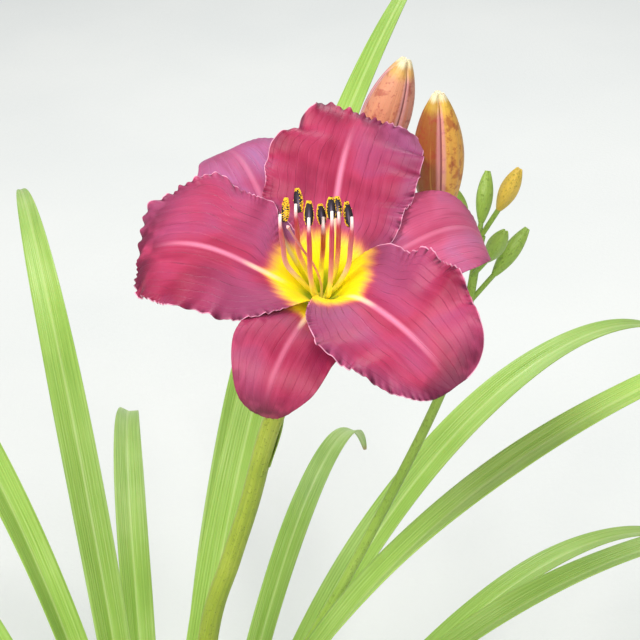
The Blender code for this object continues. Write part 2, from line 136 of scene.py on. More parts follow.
class Finish:
    """a material under construction"""

    def __init__(self, name, **shader):
        self.material = bpy.data.materials.new(name)
        self.material.use_nodes = True
        self.tree = self.material.node_tree
        self.shader = self.tree.nodes["Principled BSDF"]
        for socket, number in shader.items():
            self.shader.inputs[socket.replace("_", " ")].default_value = number

    def plug(self, socket, value):
        if isinstance(value, bpy.types.NodeSocket):
            self.tree.links.new(value, socket)
        elif value is not None:
            socket.default_value = value

    def add(self, kind, **settings):
        node = self.tree.nodes.new(kind)
        for key, value in settings.items():
            setattr(node, key, value)
        return node

    def math(self, operation, a, b=None, c=None):
        node = self.add("ShaderNodeMath", operation=operation)
        for socket, value in zip(node.inputs, (a, b, c)):
            self.plug(socket, value)
        return node.outputs[0]

    def times(self, a, b):
        return self.math("MULTIPLY", a, b)

    def scaled(self, value, by, plus):
        return self.math("MULTIPLY_ADD", value, by, plus)

    def stripes(self, value):
        """0 on evenly spaced lines, one to each whole step of the value, 0.5 between them"""
        return self.math("ABSOLUTE", self.math("SUBTRACT", self.math("FRACT", value), 0.5))

    def fade(self, value, low, high):
        """0 below low, 1 above high, smooth between (or the other way round)"""
        node = self.add("ShaderNodeMapRange", interpolation_type="SMOOTHSTEP")
        turned_round = low > high
        self.plug(node.inputs["Value"], value)
        node.inputs["From Min"].default_value = min(low, high)
        node.inputs["From Max"].default_value = max(low, high)
        node.inputs["To Min"].default_value = 1.0 if turned_round else 0.0
        node.inputs["To Max"].default_value = 0.0 if turned_round else 1.0
        return node.outputs[0]

    def mix(self, amount, first, second):
        node = self.add("ShaderNodeMix", data_type="RGBA", clamp_factor=True)
        self.plug(node.inputs[0], amount)
        self.plug(node.inputs[6], first)
        self.plug(node.inputs[7], second)
        return node.outputs[2]

    def lay(self, base, code, amount, most=1.0):
        """a tint laid over the base where amount says, and at most so thick"""
        return self.mix(self.times(amount, most), base, tint(code))

    def ramp(self, value, stops):
        node = self.add("ShaderNodeValToRGB")
        band = node.color_ramp
        while len(band.elements) < len(stops):
            band.elements.new(0.5)
        for element, (place, colour) in zip(band.elements, stops):
            element.position = place
            element.color = tint(colour)
        self.plug(node.inputs[0], value)
        return node.outputs[0]

    def noise(self, vector, scale, detail=3.0, rough=0.55, warp=0.0):
        node = self.add("ShaderNodeTexNoise")
        self.plug(node.inputs["Vector"], vector)
        node.inputs["Scale"].default_value = scale
        node.inputs["Detail"].default_value = detail
        node.inputs["Roughness"].default_value = rough
        node.inputs["Distortion"].default_value = warp
        return node.outputs["Fac"]

    def vector(self, x, y, z=0.0):
        node = self.add("ShaderNodeCombineXYZ")
        for socket, value in zip(node.inputs, (x, y, z)):
            self.plug(socket, value)
        return node.outputs[0]

    def split(self, vector):
        node = self.add("ShaderNodeSeparateXYZ")
        self.plug(node.inputs[0], vector)
        return node.outputs[:3]

    def measured(self, name):
        """the three numbers of the piece's own attribute"""
        return self.split(self.add("ShaderNodeAttribute", attribute_name=name).outputs["Vector"])

    def places(self):
        """where a point of the piece is, in metres"""
        return self.add("ShaderNodeTexCoord").outputs["Object"]

    def own_map(self):
        """a blade's own map: 0 to 1 along it, -1 to 1 across it"""
        s, t, _ = self.split(self.add("ShaderNodeTexCoord").outputs["UV"])
        return s, self.scaled(t, 2.0, -1.0)

    def finish(self, colour, roughness, height, depth, strength=1.0):
        """height is what stands out, and depth how far, in metres"""
        bump = self.add("ShaderNodeBump")
        bump.inputs["Distance"].default_value = depth
        bump.inputs["Strength"].default_value = strength
        self.plug(bump.inputs["Height"], height)
        self.plug(self.shader.inputs["Base Color"], colour)
        self.plug(self.shader.inputs["Roughness"], roughness)
        self.plug(self.shader.inputs["Normal"], bump.outputs[0])
        return self.material


def floor_finish():
    f = Finish("studio_floor")
    cloud = f.noise(f.places(), 3.0, 3)
    colour = f.ramp(cloud, [(0.3, "E4E6E4"), (0.7, "EBECE9")])
    rough = f.scaled(cloud, 0.1, 0.75)
    return f.finish(colour, rough, f.noise(f.places(), 300, 2), 0.0003)


floor.data.materials.append(floor_finish())
print("floor laid")


# %% [markdown]
# ## Two ways to start a piece
# Blades start as a flat grid, whose two directions become *along* and *across*, and keep
# the grid's own map, so that veins can follow the blade. Stems start as a grid too, which
# is rolled round a path until its long edges meet; the meeting edges are then merged.

# %% Grids, rods and blades
SAME_PLACE = 1e-6


def add_grid(name, along, across):
    bpy.ops.object.select_all(action="DESELECT")
    bpy.ops.mesh.primitive_grid_add(x_subdivisions=along, y_subdivisions=across, size=2)
    piece = bpy.context.object
    piece.name = name
    piece.data.name = name
    return piece


def get_points(piece):
    flat = np.empty(len(piece.data.vertices) * 3)
    piece.data.vertices.foreach_get("co", flat)
    return flat.reshape(-1, 3)


def set_points(piece, points):
    """points in mm"""
    piece.data.vertices.foreach_set("co", (np.asarray(points, float) * MM).ravel())
    piece.data.update()


def keep(piece, name, values):
    """stores three numbers for each point, which the finish reads back"""
    layer = piece.data.attributes.new(name, "FLOAT_VECTOR", "POINT")
    layer.data.foreach_set("vector", np.ascontiguousarray(values, dtype=np.float32).ravel())


def smooth(x):
    x = np.clip(x, 0.0, 1.0)
    return x * x * (3 - 2 * x)


def curve_points(path, count):
    """a smooth curve through given points, count points evenly spread"""
    p = [np.array(q, float) for q in path]
    p = [2 * p[0] - p[1]] + p + [2 * p[-1] - p[-2]]
    dense = []
    for a, b, c, d in zip(p, p[1:], p[2:], p[3:]):
        for t in np.linspace(0, 1, 24, endpoint=False):
            dense.append(0.5 * (2 * b + (c - a) * t + (2 * a - 5 * b + 4 * c - d) * t ** 2
                                + (3 * b - a - 3 * c + d) * t ** 3))
    dense.append(p[-2])
    dense = np.array(dense)
    run = np.concatenate([[0], np.cumsum(np.linalg.norm(np.diff(dense, axis=0), axis=1))])
    at = np.linspace(0, run[-1], count)
    return np.stack([np.interp(at, run, dense[:, k]) for k in range(3)], 1)


def pick(*pieces):
    """selects the pieces and makes the first one active"""
    bpy.ops.object.select_all(action="DESELECT")
    for piece in pieces:
        piece.select_set(True)
    bpy.context.view_layer.objects.active = pieces[0]


def faces_out(merge=False):
    """turns the active piece's faces outward, after merging what meets where asked"""
    bpy.ops.object.mode_set(mode="EDIT")
    bpy.ops.mesh.select_all(action="SELECT")
    if merge:
        bpy.ops.mesh.remove_doubles(threshold=SAME_PLACE)
    bpy.ops.mesh.normals_make_consistent(inside=False)
    bpy.ops.object.mode_set(mode="OBJECT")


def clean(piece, angle=60):
    """merges what meets, turns the faces out and smooths the shading"""
    pick(piece)
    faces_out(merge=True)
    bpy.ops.object.shade_smooth_by_angle(angle=math.radians(angle))
    return piece


def rod(name, path, radius, around, along, section, material, turn=0.0):
    """a grid rolled round a path; radius(f) along it, section(f, a) shapes the round"""
    path = np.asarray(path, float)
    piece = add_grid(name, along, around)
    flat = get_points(piece)
    row = np.rint((flat[:, 0] + 1) / 2 * along).astype(int)
    angle = math.pi * (flat[:, 1] + 1) + turn
    f = np.clip((row - 1) / (along - 2), 0, 1)
    n = along - 1
    at = np.linspace(0, len(path) - 1, n)
    spine = np.stack([np.interp(at, np.arange(len(path)), path[:, k]) for k in range(3)], 1)
    tangent = np.gradient(spine, axis=0)
    side, sides, others = np.array([1.0, 0.0, 0.0]), [], []
    for t in tangent:
        t = t / np.linalg.norm(t)
        side = side - t * side.dot(t)
        side = side / np.linalg.norm(side)
        sides.append(side)
        others.append(np.cross(t, side))
    station = np.clip(row - 1, 0, n - 1)
    open_row = ((row > 0) & (row < along)).astype(float)
    r = np.array([radius(v) for v in np.linspace(0, 1, n)])[station] * open_row
    r = r * section(f, angle)
    sides, others = np.array(sides)[station], np.array(others)[station]
    set_points(piece, spine[station] + sides * (r * np.cos(angle))[:, None]
               + others * (r * np.sin(angle))[:, None])
    keep(piece, "place", np.stack([f, angle / (2 * math.pi), r], 1))
    piece.data.materials.append(material)
    return clean(piece)


def thicken(piece, thickness, margin=None):
    """gives a sheet its flesh; margin is how much of it is left where the group is 0"""
    solid = piece.modifiers.new("flesh", "SOLIDIFY")
    solid.thickness = thickness * MM
    solid.offset = 0.0
    if margin is not None:
        solid.vertex_group = "flesh"
        solid.thickness_vertex_group = margin
    pick(piece)
    bpy.ops.object.modifier_apply(modifier=solid.name)
    faces_out()
    bpy.ops.object.shade_smooth()


def settle(piece, slot, *nodes):
    """the piece belongs to the plant and stands for those nodes; slot is not used"""
    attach(piece, "root")
    if nodes:
        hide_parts(*nodes)
    print(piece.name, len(piece.data.polygons), "faces")


# %% [markdown]
# ## The bloom's own frame
# The open bloom leans 22 degrees toward the viewer. Its parts are easiest to describe round
# its own axis: x across, y back and up, z out of the throat. One helper turns that frame
# into the plant's.

# %% Bloom frame
BLOOM_AT = np.array([80.0, -40.0, 500.0])
BLOOM_TILT = math.radians(22.0)
AXES = np.array([[1.0, 0.0, 0.0],
                 [0.0, math.cos(BLOOM_TILT), math.sin(BLOOM_TILT)],
                 [0.0, -math.sin(BLOOM_TILT), math.cos(BLOOM_TILT)]])


def in_bloom(points):
    return BLOOM_AT + np.asarray(points, float) @ AXES


print("bloom axis:", AXES[2].round(3))

# %% [markdown]
# ## Tepals: shape
# A daylily has three broad ruffled petals and three plainer sepals behind them. Each one
# leaves the tube steeply, flares, and rolls back at the tip. A line of numbers says how:
# angles to the axis at the base, past the flare and added at the tip; where it stands round
# the axis; how wide, blunt, cupped and twisted it is; how much of the ring its two sides may
# take near the throat; and where its outline bulges, side by side.

# %% Numbers for the six tepals
PETAL_RING, SEPAL_RING, SEPAL_DROP = 3.2, 4.6, 1.8
TEPALS = {
    "petal_top": dict(base=75, turn=13, sweep=-20, length=83.5, phi=(30.9, 81.6, 20),
                      flare=0.49, width=29.2, full=1.19, blunt=0.14, cup=0.0, twist=8,
                      reach=(58, 40),
                      lobes=((-0.08, 0.01, 0.06, 0.09, 0.16),
                             (0.24, 0.1, 0.06, -0.22, -0.26))),
    "petal_left": dict(base=195, turn=-40, sweep=25, length=80.6, phi=(31.5, 73.5, 66),
                       flare=0.51, width=34.2, full=0.91, blunt=0.15, cup=0.07, twist=1,
                       reach=(44, 50),
                       lobes=((0.2, -0.05, 0.11, -0.05, -0.17),
                              (0.03, -0.08, -0.03, -0.08, -0.13))),
    "petal_right": dict(base=315, turn=-9, sweep=6, length=84.1, phi=(28.8, 73.2, 48),
                        flare=0.54, width=27.0, full=1.0, blunt=0.33, cup=0.39, twist=16,
                        reach=(52, 58),
                        lobes=((0.02, 0.12, 0.06, -0.02, -0.01),
                               (-0.16, -0.02, 0.06, 0.0, 0.03))),
    "sepal_bottom": dict(base=255, turn=-6, sweep=0, length=77.5, phi=(38.0, 76.0, 128),
                         flare=0.6, width=19.2, full=1.09, blunt=0.67, cup=0.01, twist=-3,
                         reach=(58, 46),
                         lobes=((0.02, -0.02, 0.04),
                                (-0.04, 0.05, -0.04))),
    "sepal_right": dict(base=15, turn=20, sweep=-11, length=86.5, phi=(38.3, 86.5, 91),
                        flare=0.46, width=20.3, full=1.12, blunt=0.51, cup=-0.01, twist=11,
                        reach=(46, 42),
                        lobes=((-0.01, -0.01, 0.01),
                               (-0.03, 0.05, 0.0))),
    "sepal_left": dict(base=135, turn=-25, sweep=7, length=92.8, phi=(36.9, 82.5, 68),
                       flare=0.46, width=21.6, full=1.14, blunt=0.57, cup=0.0, twist=-4,
                       reach=(38, 46),
                       lobes=((0.0, 0.03, 0.01),
                              (0.0, -0.06, 0.01))),
}
LOBE_AT = {5: (0.42, 0.55, 0.68, 0.80, 0.92), 3: (0.6, 0.78, 0.92)}
LOBE_SPREAD = 0.065
RUFFLES = {  # height in mm, number of waves from base to tip, start of the wave
    "petal_top": (2.2, 5.2, 0.10),
    "petal_left": (1.3, 5.0, 0.55),
    "petal_right": (2.2, 5.4, 0.30),
}


# %% [markdown]
# The surface is worked out for any S, from 0 at the base to 1 at the tip, and any T, from -1
# to 1 across. A middle line is bent first. Its sides are wrapped round the axis in the throat
# and go over to a nearly flat blade further out. The ruffle is added last.

# %% One tepal as a surface
def tepal_surface(spec, ring, drop, ruffle, S, T):
    """points, normals and half width at S (0 base, 1 tip) and T (-1, 1 edges)"""
    steps = 240
    s = np.linspace(0, 1, steps + 1)
    flare = spec["flare"]
    phi0, phi1, phi2 = spec["phi"]
    curl = np.clip((s - flare * 0.85) / (1 - flare * 0.85), 0, 1) ** 1.6
    phi = np.radians(phi0 + (phi1 - phi0) * smooth(s / flare) + phi2 * curl)
    az = np.radians(spec["base"] + spec["turn"] * smooth(s / 0.5) + spec["sweep"] * s ** 2)
    up = np.array([0.0, 0.0, 1.0])
    rad = np.stack([np.cos(az), np.sin(az), 0 * az], -1)
    lat = np.stack([-np.sin(az), np.cos(az), 0 * az], -1)
    tan = np.sin(phi)[:, None] * rad + np.cos(phi)[:, None] * up
    mid = np.zeros((steps + 1, 3))
    mid[1:] = np.cumsum(0.5 * (tan[1:] + tan[:-1]) * spec["length"] / steps, 0)
    mid += ring * rad[0] - drop * up
    nor = -np.cos(phi)[:, None] * rad + np.sin(phi)[:, None] * up

    def at(values):
        if values.ndim == 1:
            return np.interp(S, s, values)
        return np.stack([np.interp(S, s, values[:, k]) for k in range(3)], -1)

    C, L, N, ph = at(mid), at(lat), at(nor), at(phi)
    R = np.hypot(C[:, 0], C[:, 1])
    wrap = 1 - smooth((S - 0.12) / 0.33)
    width = 3.3 * (1 - S) ** 2 + spec["width"] * np.sin(np.pi * S ** spec["full"]) ** spec["blunt"]
    half = []
    for reach, lobes in zip(spec["reach"], spec["lobes"]):
        a = math.radians(reach)
        room = R * (a * wrap + math.tan(a) * (1 - wrap))
        bulge = 1 + sum(size * np.exp(-((S - place) / LOBE_SPREAD) ** 2)
                        for size, place in zip(lobes, LOBE_AT[len(lobes)]))
        half.append(width * room / (width ** 4 + room ** 4) ** 0.25 * bulge)
    side = np.where(T < 0, half[0], half[1])
    U = side * T
    tw = np.radians(spec["twist"]) * S
    B = np.cos(tw)[:, None] * L + np.sin(tw)[:, None] * N
    M = np.cos(tw)[:, None] * N - np.sin(tw)[:, None] * L
    off = spec["cup"] * np.sin(np.pi * S ** 0.8) * side * T ** 2
    flat = C + B * U[:, None] + M * off[:, None]
    ang = np.arctan2(C[:, 1], C[:, 0]) + U / R
    around = np.stack([np.cos(ang), np.sin(ang), 0 * ang], -1)
    nw = -np.cos(ph)[:, None] * around + np.sin(ph)[:, None] * up
    rolled = around * R[:, None] + C[:, 2:3] * up + nw * off[:, None]
    k = wrap[:, None]
    points = k * rolled + (1 - k) * flat
    normal = k * nw + (1 - k) * M
    normal /= np.linalg.norm(normal, axis=-1, keepdims=True)
    if ruffle:
        height, waves, start = ruffle
        grow = np.abs(T) ** 2.2 * smooth((S - 0.28) / 0.25)
        beat = 0.6 * np.sin(2 * np.pi * (2.3 * S + 1.7 * start))
        wave = np.sin(2 * np.pi * (waves * S + start + 0.37 * (T > 0)) + beat)
        points = points + normal * (height * grow * wave)[:, None]
    return points, normal, side


# %% [markdown]
# ## Tepals: detail
# On the real petal a pale midrib runs in a shallow groove, the flesh puckers between faint
# veins, and the margin is crimped: small folds a few millimetres apart that die out inward.
# The folds run square to the margin, so their wave is counted by the angle round the middle
# of the petal. The finish needs to know the same things, so each point keeps how far it is
# along, across and from the margin, how far from the bloom's axis, and how high its fold is.

# %% Make the tepals
FOLDS, TUCKS = 44, 104              # waves of the two sizes of fold, per radian of angle
FOLD_REACH, TUCK_REACH = 2.4, 1.5   # how far in from the margin they run, mm
RIB_HIGH, GROOVE_DEEP = 0.22, 0.6
PUCKER_HIGH, VEIN_HIGH = 0.26, 0.018
PETAL_VEINS, SEPAL_VEINS = 9, 6
FLESH, FLESH_AT_MARGIN = 0.6, 0.45  # thickness, and how much of it the margin keeps


def tepal(name, material, rows, cols, crimp, seed):
    spec = TEPALS[name]
    petal = name.startswith("petal")
    piece = add_grid(name + "_blade", rows, cols)
    flat = get_points(piece)
    u, v = (flat[:, 0] + 1) / 2, flat[:, 1]
    S = 0.998 * (1 - (1 - u) ** 1.25)
    T = 0.5 * v + 0.5 * (1.5 * v - 0.5 * v ** 3)
    ring, drop = (PETAL_RING, 0.0) if petal else (SEPAL_RING, SEPAL_DROP)
    points, normal, side = tepal_surface(spec, ring, drop, RUFFLES.get(name), S, T)

    length = spec["length"]
    along, across = S * length, side * T
    to_side, to_tip = side * (1 - np.abs(T)), (1 - S) * length * 1.1
    margin = -1.2 * np.log(np.exp(-to_side / 1.2) + np.exp(-to_tip / 1.2))
    margin = np.clip(margin, 0, None)
    theta = np.arctan2(across, along - 0.42 * length)
    free = smooth((S - 0.2) / 0.2)

    swing = 0.55 + 0.45 * np.sin(3.1 * theta + seed)
    fold = np.sin(FOLDS * theta + 2.6 * np.sin(5 * theta + seed) + 1.3 * seed)
    tuck = np.sin(TUCKS * theta + 3.0 * np.sin(9 * theta + 2 * seed) + seed)
    tight = smooth(0.5 + 0.9 * np.sin(4.3 * theta + 2.2 * seed))
    pleat = (fold * swing * np.exp(-margin / FOLD_REACH)
             + 0.75 * tuck * tight * np.exp(-margin / TUCK_REACH))
    lift = crimp * free * 0.95 * pleat
    # midrib in its groove, and shallow puckers between the veins
    rib = RIB_HIGH * np.exp(-(across / 0.9) ** 2) - GROOVE_DEEP * np.exp(-(across / 4.2) ** 2)
    lift += rib * smooth(S / 0.15) * (1 - smooth((S - 0.82) / 0.18))
    inner = 1 - np.exp(-margin / 5.0)
    pucker = (np.sin(0.21 * across + 0.045 * along + seed) * np.sin(0.11 * along + 2 * seed)
              + 0.35 * np.sin(0.47 * across - 0.06 * along + 3 * seed))
    lift += PUCKER_HIGH * pucker * inner * free
    veins = PETAL_VEINS if petal else SEPAL_VEINS
    vein = np.cos(2 * np.pi * T * (1.1 - 0.35 * S) * veins)
    lift += VEIN_HIGH * vein * inner * smooth(S / 0.3)
    points = points + normal * lift[:, None]
    set_points(piece, in_bloom(points))

    keep(piece, "place", np.stack([along, across, margin], 1))
    axis = np.hypot(points[:, 0], points[:, 1])
    keep(piece, "throat", np.stack([axis, pleat * free, points[:, 2]], 1))
    group = piece.vertex_groups.new(name="flesh")
    for level in range(11):
        some = np.nonzero(np.rint(10 * smooth(margin / 6.0)) == level)[0]
        group.add(some.tolist(), level / 10, "REPLACE")
    thicken(piece, FLESH, FLESH_AT_MARGIN)
    piece.data.materials.append(material)
    return piece


# %% [markdown]
# ## Tepals: finish
# Rose to wine flesh with long faint streaks, darker plum veins that fan out from the throat,
# a pale midrib, a hairline of pale pink along the crimped margin, painted shade in plum in
# the valleys of its folds and a painted highlight on their ridges, and the throat: green at
# the heart, bright yellow, then a narrow orange rim. Every part is placed by the distances
# that the petal keeps, so nothing has to be drawn by hand. Each tepal has its own numbers:
# how much painted mauve sheen lies near its throat, along its sides and over one shoulder,
# which half is a deeper crimson, and where its tip turns dusky, partly with its own dark plum
# and partly with painted shade.

# %% Tepal finish
def tepal_finish(name, petal, glow_out, stops, side_sheen, throat_sheen, dusked, dusk_at, seed, sheen_shoulder,
                 deep):
    f = Finish(name, Sheen_Weight=0.06, Sheen_Roughness=0.35, Sheen_Tint=tint("F3B6D2"),
               Subsurface_Weight=0.10, Subsurface_Scale=0.0012,
               Subsurface_Radius=(1.0, 0.2, 0.25), Specular_IOR_Level=0.32)
    along, across, margin = f.measured("place")
    axis, high, _ = f.measured("throat")
    s, t = f.own_map()

    # flesh: wide soft patches of crimson and rose, then faint long streaks
    patch = f.noise(f.vector(along, across, seed), 0.05, 1.5, 0.5, 0.4)
    flesh = f.ramp(patch, list(zip((0.33, 0.46, 0.58, 0.70), stops)))
    streak = f.noise(f.vector(f.times(along, 0.07), across), 0.5, 3.0, 0.55)
    flesh = f.lay(flesh, "C44C74", f.fade(streak, 0.45, 0.75), 0.28)
    flesh = f.lay(flesh, "861440", f.fade(streak, 0.50, 0.28), 0.32)

    # painted sheen: mauve laid near the throat and along the sides, and over whole shoulders
    off = f.math("ABSOLUTE", across)
    sheen_patches = f.noise(f.vector(along, across, 5.0 + seed), 0.035, 1.0)
    near = f.times(f.fade(s, 0.62, 0.30), f.fade(off, 3.0, 10.0))
    side = f.times(f.fade(margin, 10.0, 1.5), f.fade(sheen_patches, 0.42, 0.62))
    painted_sheen = f.math("MAXIMUM", f.times(near, throat_sheen), f.times(side, side_sheen))
    outer = f.times(f.fade(s, 0.5, 0.85), f.fade(f.times(t, sheen_shoulder[0]), -0.1, 0.7))
    painted_sheen = f.math("MAXIMUM", painted_sheen, f.times(outer, sheen_shoulder[1]))
    half = f.fade(f.times(t, deep[0]), 0.15, 0.75)
    flesh = f.lay(flesh, "86123A", half, deep[1])
    # the mauve laid here is painted sheen
    flesh = f.lay(flesh, "98507C", painted_sheen)

    # veins fan out from the throat: a few thin dark ones, many faint ones
    fan = f.times(t, f.scaled(s, -0.35, 1.1))
    wander = f.noise(f.vector(f.times(along, 0.06), across, 3.0), 0.25, 2.0)
    fan = f.scaled(wander, 0.09, fan)
    veins = PETAL_VEINS if petal else SEPAL_VEINS
    vein = f.fade(f.stripes(f.times(fan, veins)), 0.07, 0.0)
    fine = f.fade(f.stripes(f.scaled(fan, 4 * veins, 0.3)), 0.3, 0.0)
    stretches = f.noise(f.vector(along, across), 0.09, 2.0)
    here = f.times(f.fade(stretches, 0.44, 0.66), f.fade(s, 0.9, 0.55))
    flesh = f.lay(flesh, "641238", f.times(vein, here), 0.7 if petal else 0.35)
    flesh = f.lay(flesh, "7A1846", fine, 0.10)

    # midrib: a pale soft band between two deeper ones
    sure = f.times(f.fade(s, 0.92, 0.5), f.fade(s, 0.12, 0.25))
    flesh = f.lay(flesh, "9C2048", f.times(f.fade(off, 6.5, 1.2), sure), 0.5)
    band = f.times(f.fade(off, 1.9, 0.0), sure)
    flesh = f.lay(flesh, "EE90B0", band, 0.72 if petal else 0.34)

    # margin: painted shade in plum in the valleys of the pleats, a painted highlight on their
    # ridges, and pale on the very edge
    painted_fold_shade = f.times(f.fade(high, -0.05, -0.6), f.fade(margin, 4.5, 0.5))
    painted_fold_light = f.times(f.fade(high, 0.25, 0.9), f.fade(margin, 3.0, 0.4))
    flesh = f.lay(flesh, "5A1436", painted_fold_shade, 0.85 if petal else 0.2)
    flesh = f.lay(flesh, "CC5C84", painted_fold_light, 0.55 if petal else 0.1)
    # the dusky tip and the dark smudges by the margin are partly the tepal's own plum and partly
    # painted shade
    dusky = f.noise(f.vector(along, across, 9.0 + seed), 0.10, 2.0)
    low = 0.58 - 0.3 * dusked
    dusk = f.times(f.fade(s, dusk_at, dusk_at + 0.23), f.fade(dusky, low, low + 0.2))
    rim = f.times(f.fade(margin, 6.0, 0.5), f.fade(dusky, 0.48, 0.66))
    dusk = f.math("MAXIMUM", dusk, f.times(rim, 0.55))
    flesh = f.lay(flesh, "5A0C2E", dusk, dusked)
    if petal:
        hair = f.times(f.fade(margin, 0.42, 0.12), f.fade(dusky, 0.62, 0.46))
        flesh = f.lay(flesh, "F4AECA", hair, 0.8)

    # throat: green heart, clear yellow, and a soft orange rim that runs out along the veins
    ragged = f.noise(f.vector(f.times(along, 0.03), across, 7.0), 0.33, 3.0, 0.6)
    reach = f.scaled(ragged, 6.0, f.math("SUBTRACT", axis, 3.0))
    reach = f.scaled(f.fade(off, 3.0, 0.3), -3.5, reach)
    glow = f.ramp(f.math("DIVIDE", reach, 30.0),
                  [(0.10, "A8C018"), (0.20, "E6E412"), (0.30, "FFF000"), (0.52, "FFE61A"),
                   (0.62, "FFC050"), (0.72, "F0605C")])
    inside = f.fade(reach, glow_out, glow_out - 7.0)
    colour = f.mix(inside, flesh, glow)
    pale = f.times(f.fade(off, 1.6, 0.2), f.fade(reach, 9.0, 15.0))
    pale = f.times(pale, f.fade(reach, glow_out + 5.0, glow_out - 2.0))
    colour = f.lay(colour, "F6DCB4", pale, 0.7)

    rough = f.scaled(streak, 0.22, 0.40)
    grain = f.noise(f.vector(f.times(along, 0.6), across), 2.2, 4.0, 0.6)
    height = f.scaled(vein, -0.5, f.times(grain, 0.55))
    return f.finish(colour, rough, height, 0.00022, 0.7)


# flesh palettes; they differ partly by the tepals' own tint and partly by painted light and shade:
# WINE, the darkest, is partly painted shade on the bottom sepal
ROSE = ("8A163A", "9E2448", "AE3258", "A63C66")
LILAC = ("9C3864", "A64A78", "AC5888", "A06494")
PINK = ("B04468", "BE5074", "C85C82", "BC6690")
WINE = ("84183A", "9A2448", "A83458", "9C3C60")
# each tepal's painted mauve sheen: how strong near the throat, along the sides and over one
# shoulder
LOOK = {  # shoulder and deep say which half, -1 or 1, and how strong
    "petal_top": dict(stops=ROSE, side_sheen=0.5, throat_sheen=0.1, dusked=0.6, dusk_at=0.74, seed=0.0,
                      sheen_shoulder=(-1, 0.8), deep=(-1, 0.45)),
    "petal_left": dict(stops=ROSE, side_sheen=0.4, throat_sheen=0.5, dusked=0.85, dusk_at=0.70, seed=3.0,
                       sheen_shoulder=(-1, 0.45), deep=(1, 0.5)),
    "petal_right": dict(stops=ROSE, side_sheen=0.45, throat_sheen=0.6, dusked=0.8, dusk_at=0.72, seed=8.0,
                        sheen_shoulder=(1, 0.3), deep=(-1, 0.25)),
    "sepal_bottom": dict(stops=WINE, side_sheen=0.15, throat_sheen=0.15, dusked=0.8, dusk_at=0.68,
                         seed=2.0, sheen_shoulder=(1, 0.0), deep=(1, 0.3)),
    "sepal_right": dict(stops=PINK, side_sheen=0.3, throat_sheen=0.2, dusked=0.5, dusk_at=0.80, seed=4.0,
                        sheen_shoulder=(1, 0.2), deep=(1, 0.0)),
    "sepal_left": dict(stops=LILAC, side_sheen=0.8, throat_sheen=0.3, dusked=0.3, dusk_at=0.80, seed=6.0,
                       sheen_shoulder=(-1, 0.4), deep=(1, 0.2)),
}
# rows and columns of the grid, height of the crimp, and how far from the axis the throat glows
BLADES = {"petal": (250, 110, 1.0, 23.0), "sepal": (150, 70, 0.12, 22.0)}
for seed, name in enumerate(TEPALS):
    kind = name.split("_")[0]
    rows, cols, crimp, glow = BLADES[kind]
    finish = tepal_finish(name + "_flesh", kind == "petal", glow, **LOOK[name])
    settle(tepal(name, finish, rows, cols, crimp, 0.7 + 1.9 * seed), kind, name)


# %% [markdown]
# ## Stamens
# Seven stamens stand in a loose row across the throat. A filament is a thin thread, yellow at
# its foot, red along its length and white just under the anther. Two are paler and one is
# darker than the others.

# %% Filaments
STAMENS = [   # filament tip; its anther's middle right and up of it, lean and length
    ((-14.9, 0.5, 50.3), 1.8, 1.9, 4, 8.8),
    ((-9.3, 5.9, 49.6), 0.8, 1.6, -5, 9.0),
    ((-4.5, -3.6, 53.3), 0.0, 1.9, 0, 9.1),
    ((0.7, 2.5, 46.3), -0.7, 1.3, -7, 7.6),
    ((3.8, -1.8, 54.8), -0.3, 1.4, -2, 8.1),
    ((6.4, 5.6, 45.5), -0.5, 2.0, -2, 7.9),
    ((11.1, 1.0, 48.2), -1.3, 1.2, -8.5, 9.4),
]
FOOT_ORDER = (6, 4, 2, 1, 3, 5, 7)
STAMEN_RING, FILAMENT_RADIUS = 1.7, 0.95
ANTHER_BEHIND, ANTHER_WIDTH, ANTHER_FLAT = 2.15, 3.5, 0.66
LEAN = math.radians(54)
ACROSS = np.array([1.0, 0.0, 0.0])
ALONG = np.array([0.0, math.sin(LEAN), math.cos(LEAN)])
BEHIND = np.array([0.0, math.cos(LEAN), -math.sin(LEAN)])


def filament_path(tip, turn):
    """out of the throat floor, along its wall, and turned up over the last few millimetres"""
    tip = np.array(tip, float)
    ring = np.array([math.cos(turn), math.sin(turn), 0.0])
    knee = tip - ALONG * 4.2
    low = ring * 6.8 + (0, 0, 11.5)
    path = [ring * STAMEN_RING, ring * 3.9 + (0, 0, 5.5), low]
    for f in (0.33, 0.67):
        path.append(low + (knee - low) * np.array([f ** 0.25, f ** 1.3, f]))
    return path + [knee, tip]


def filament_radius(f):
    swell = FILAMENT_RADIUS * (0.55 + 0.45 * float(smooth(f / 0.2)))
    return swell - 0.38 * float(smooth((f - 0.8) / 0.2))


def filament_finish(name, stops):
    f = Finish(name, Subsurface_Weight=0.15, Subsurface_Scale=0.0008,
               Subsurface_Radius=(1.0, 0.4, 0.3))
    way, around, _ = f.measured("place")
    wander = f.noise(f.vector(f.times(way, 6.0), around), 2.0, 2.0)
    colour = f.ramp(f.scaled(wander, 0.06, f.math("SUBTRACT", way, 0.03)), stops)
    streak = f.noise(f.vector(f.times(way, 4.0), f.times(around, 6.0), 1.0), 2.0, 3.0)
    colour = f.lay(colour, "FFE0D0", f.fade(streak, 0.45, 0.7), 0.22)
    rough = f.scaled(streak, 0.25, 0.25)
    return f.finish(colour, rough, streak, 0.0001)


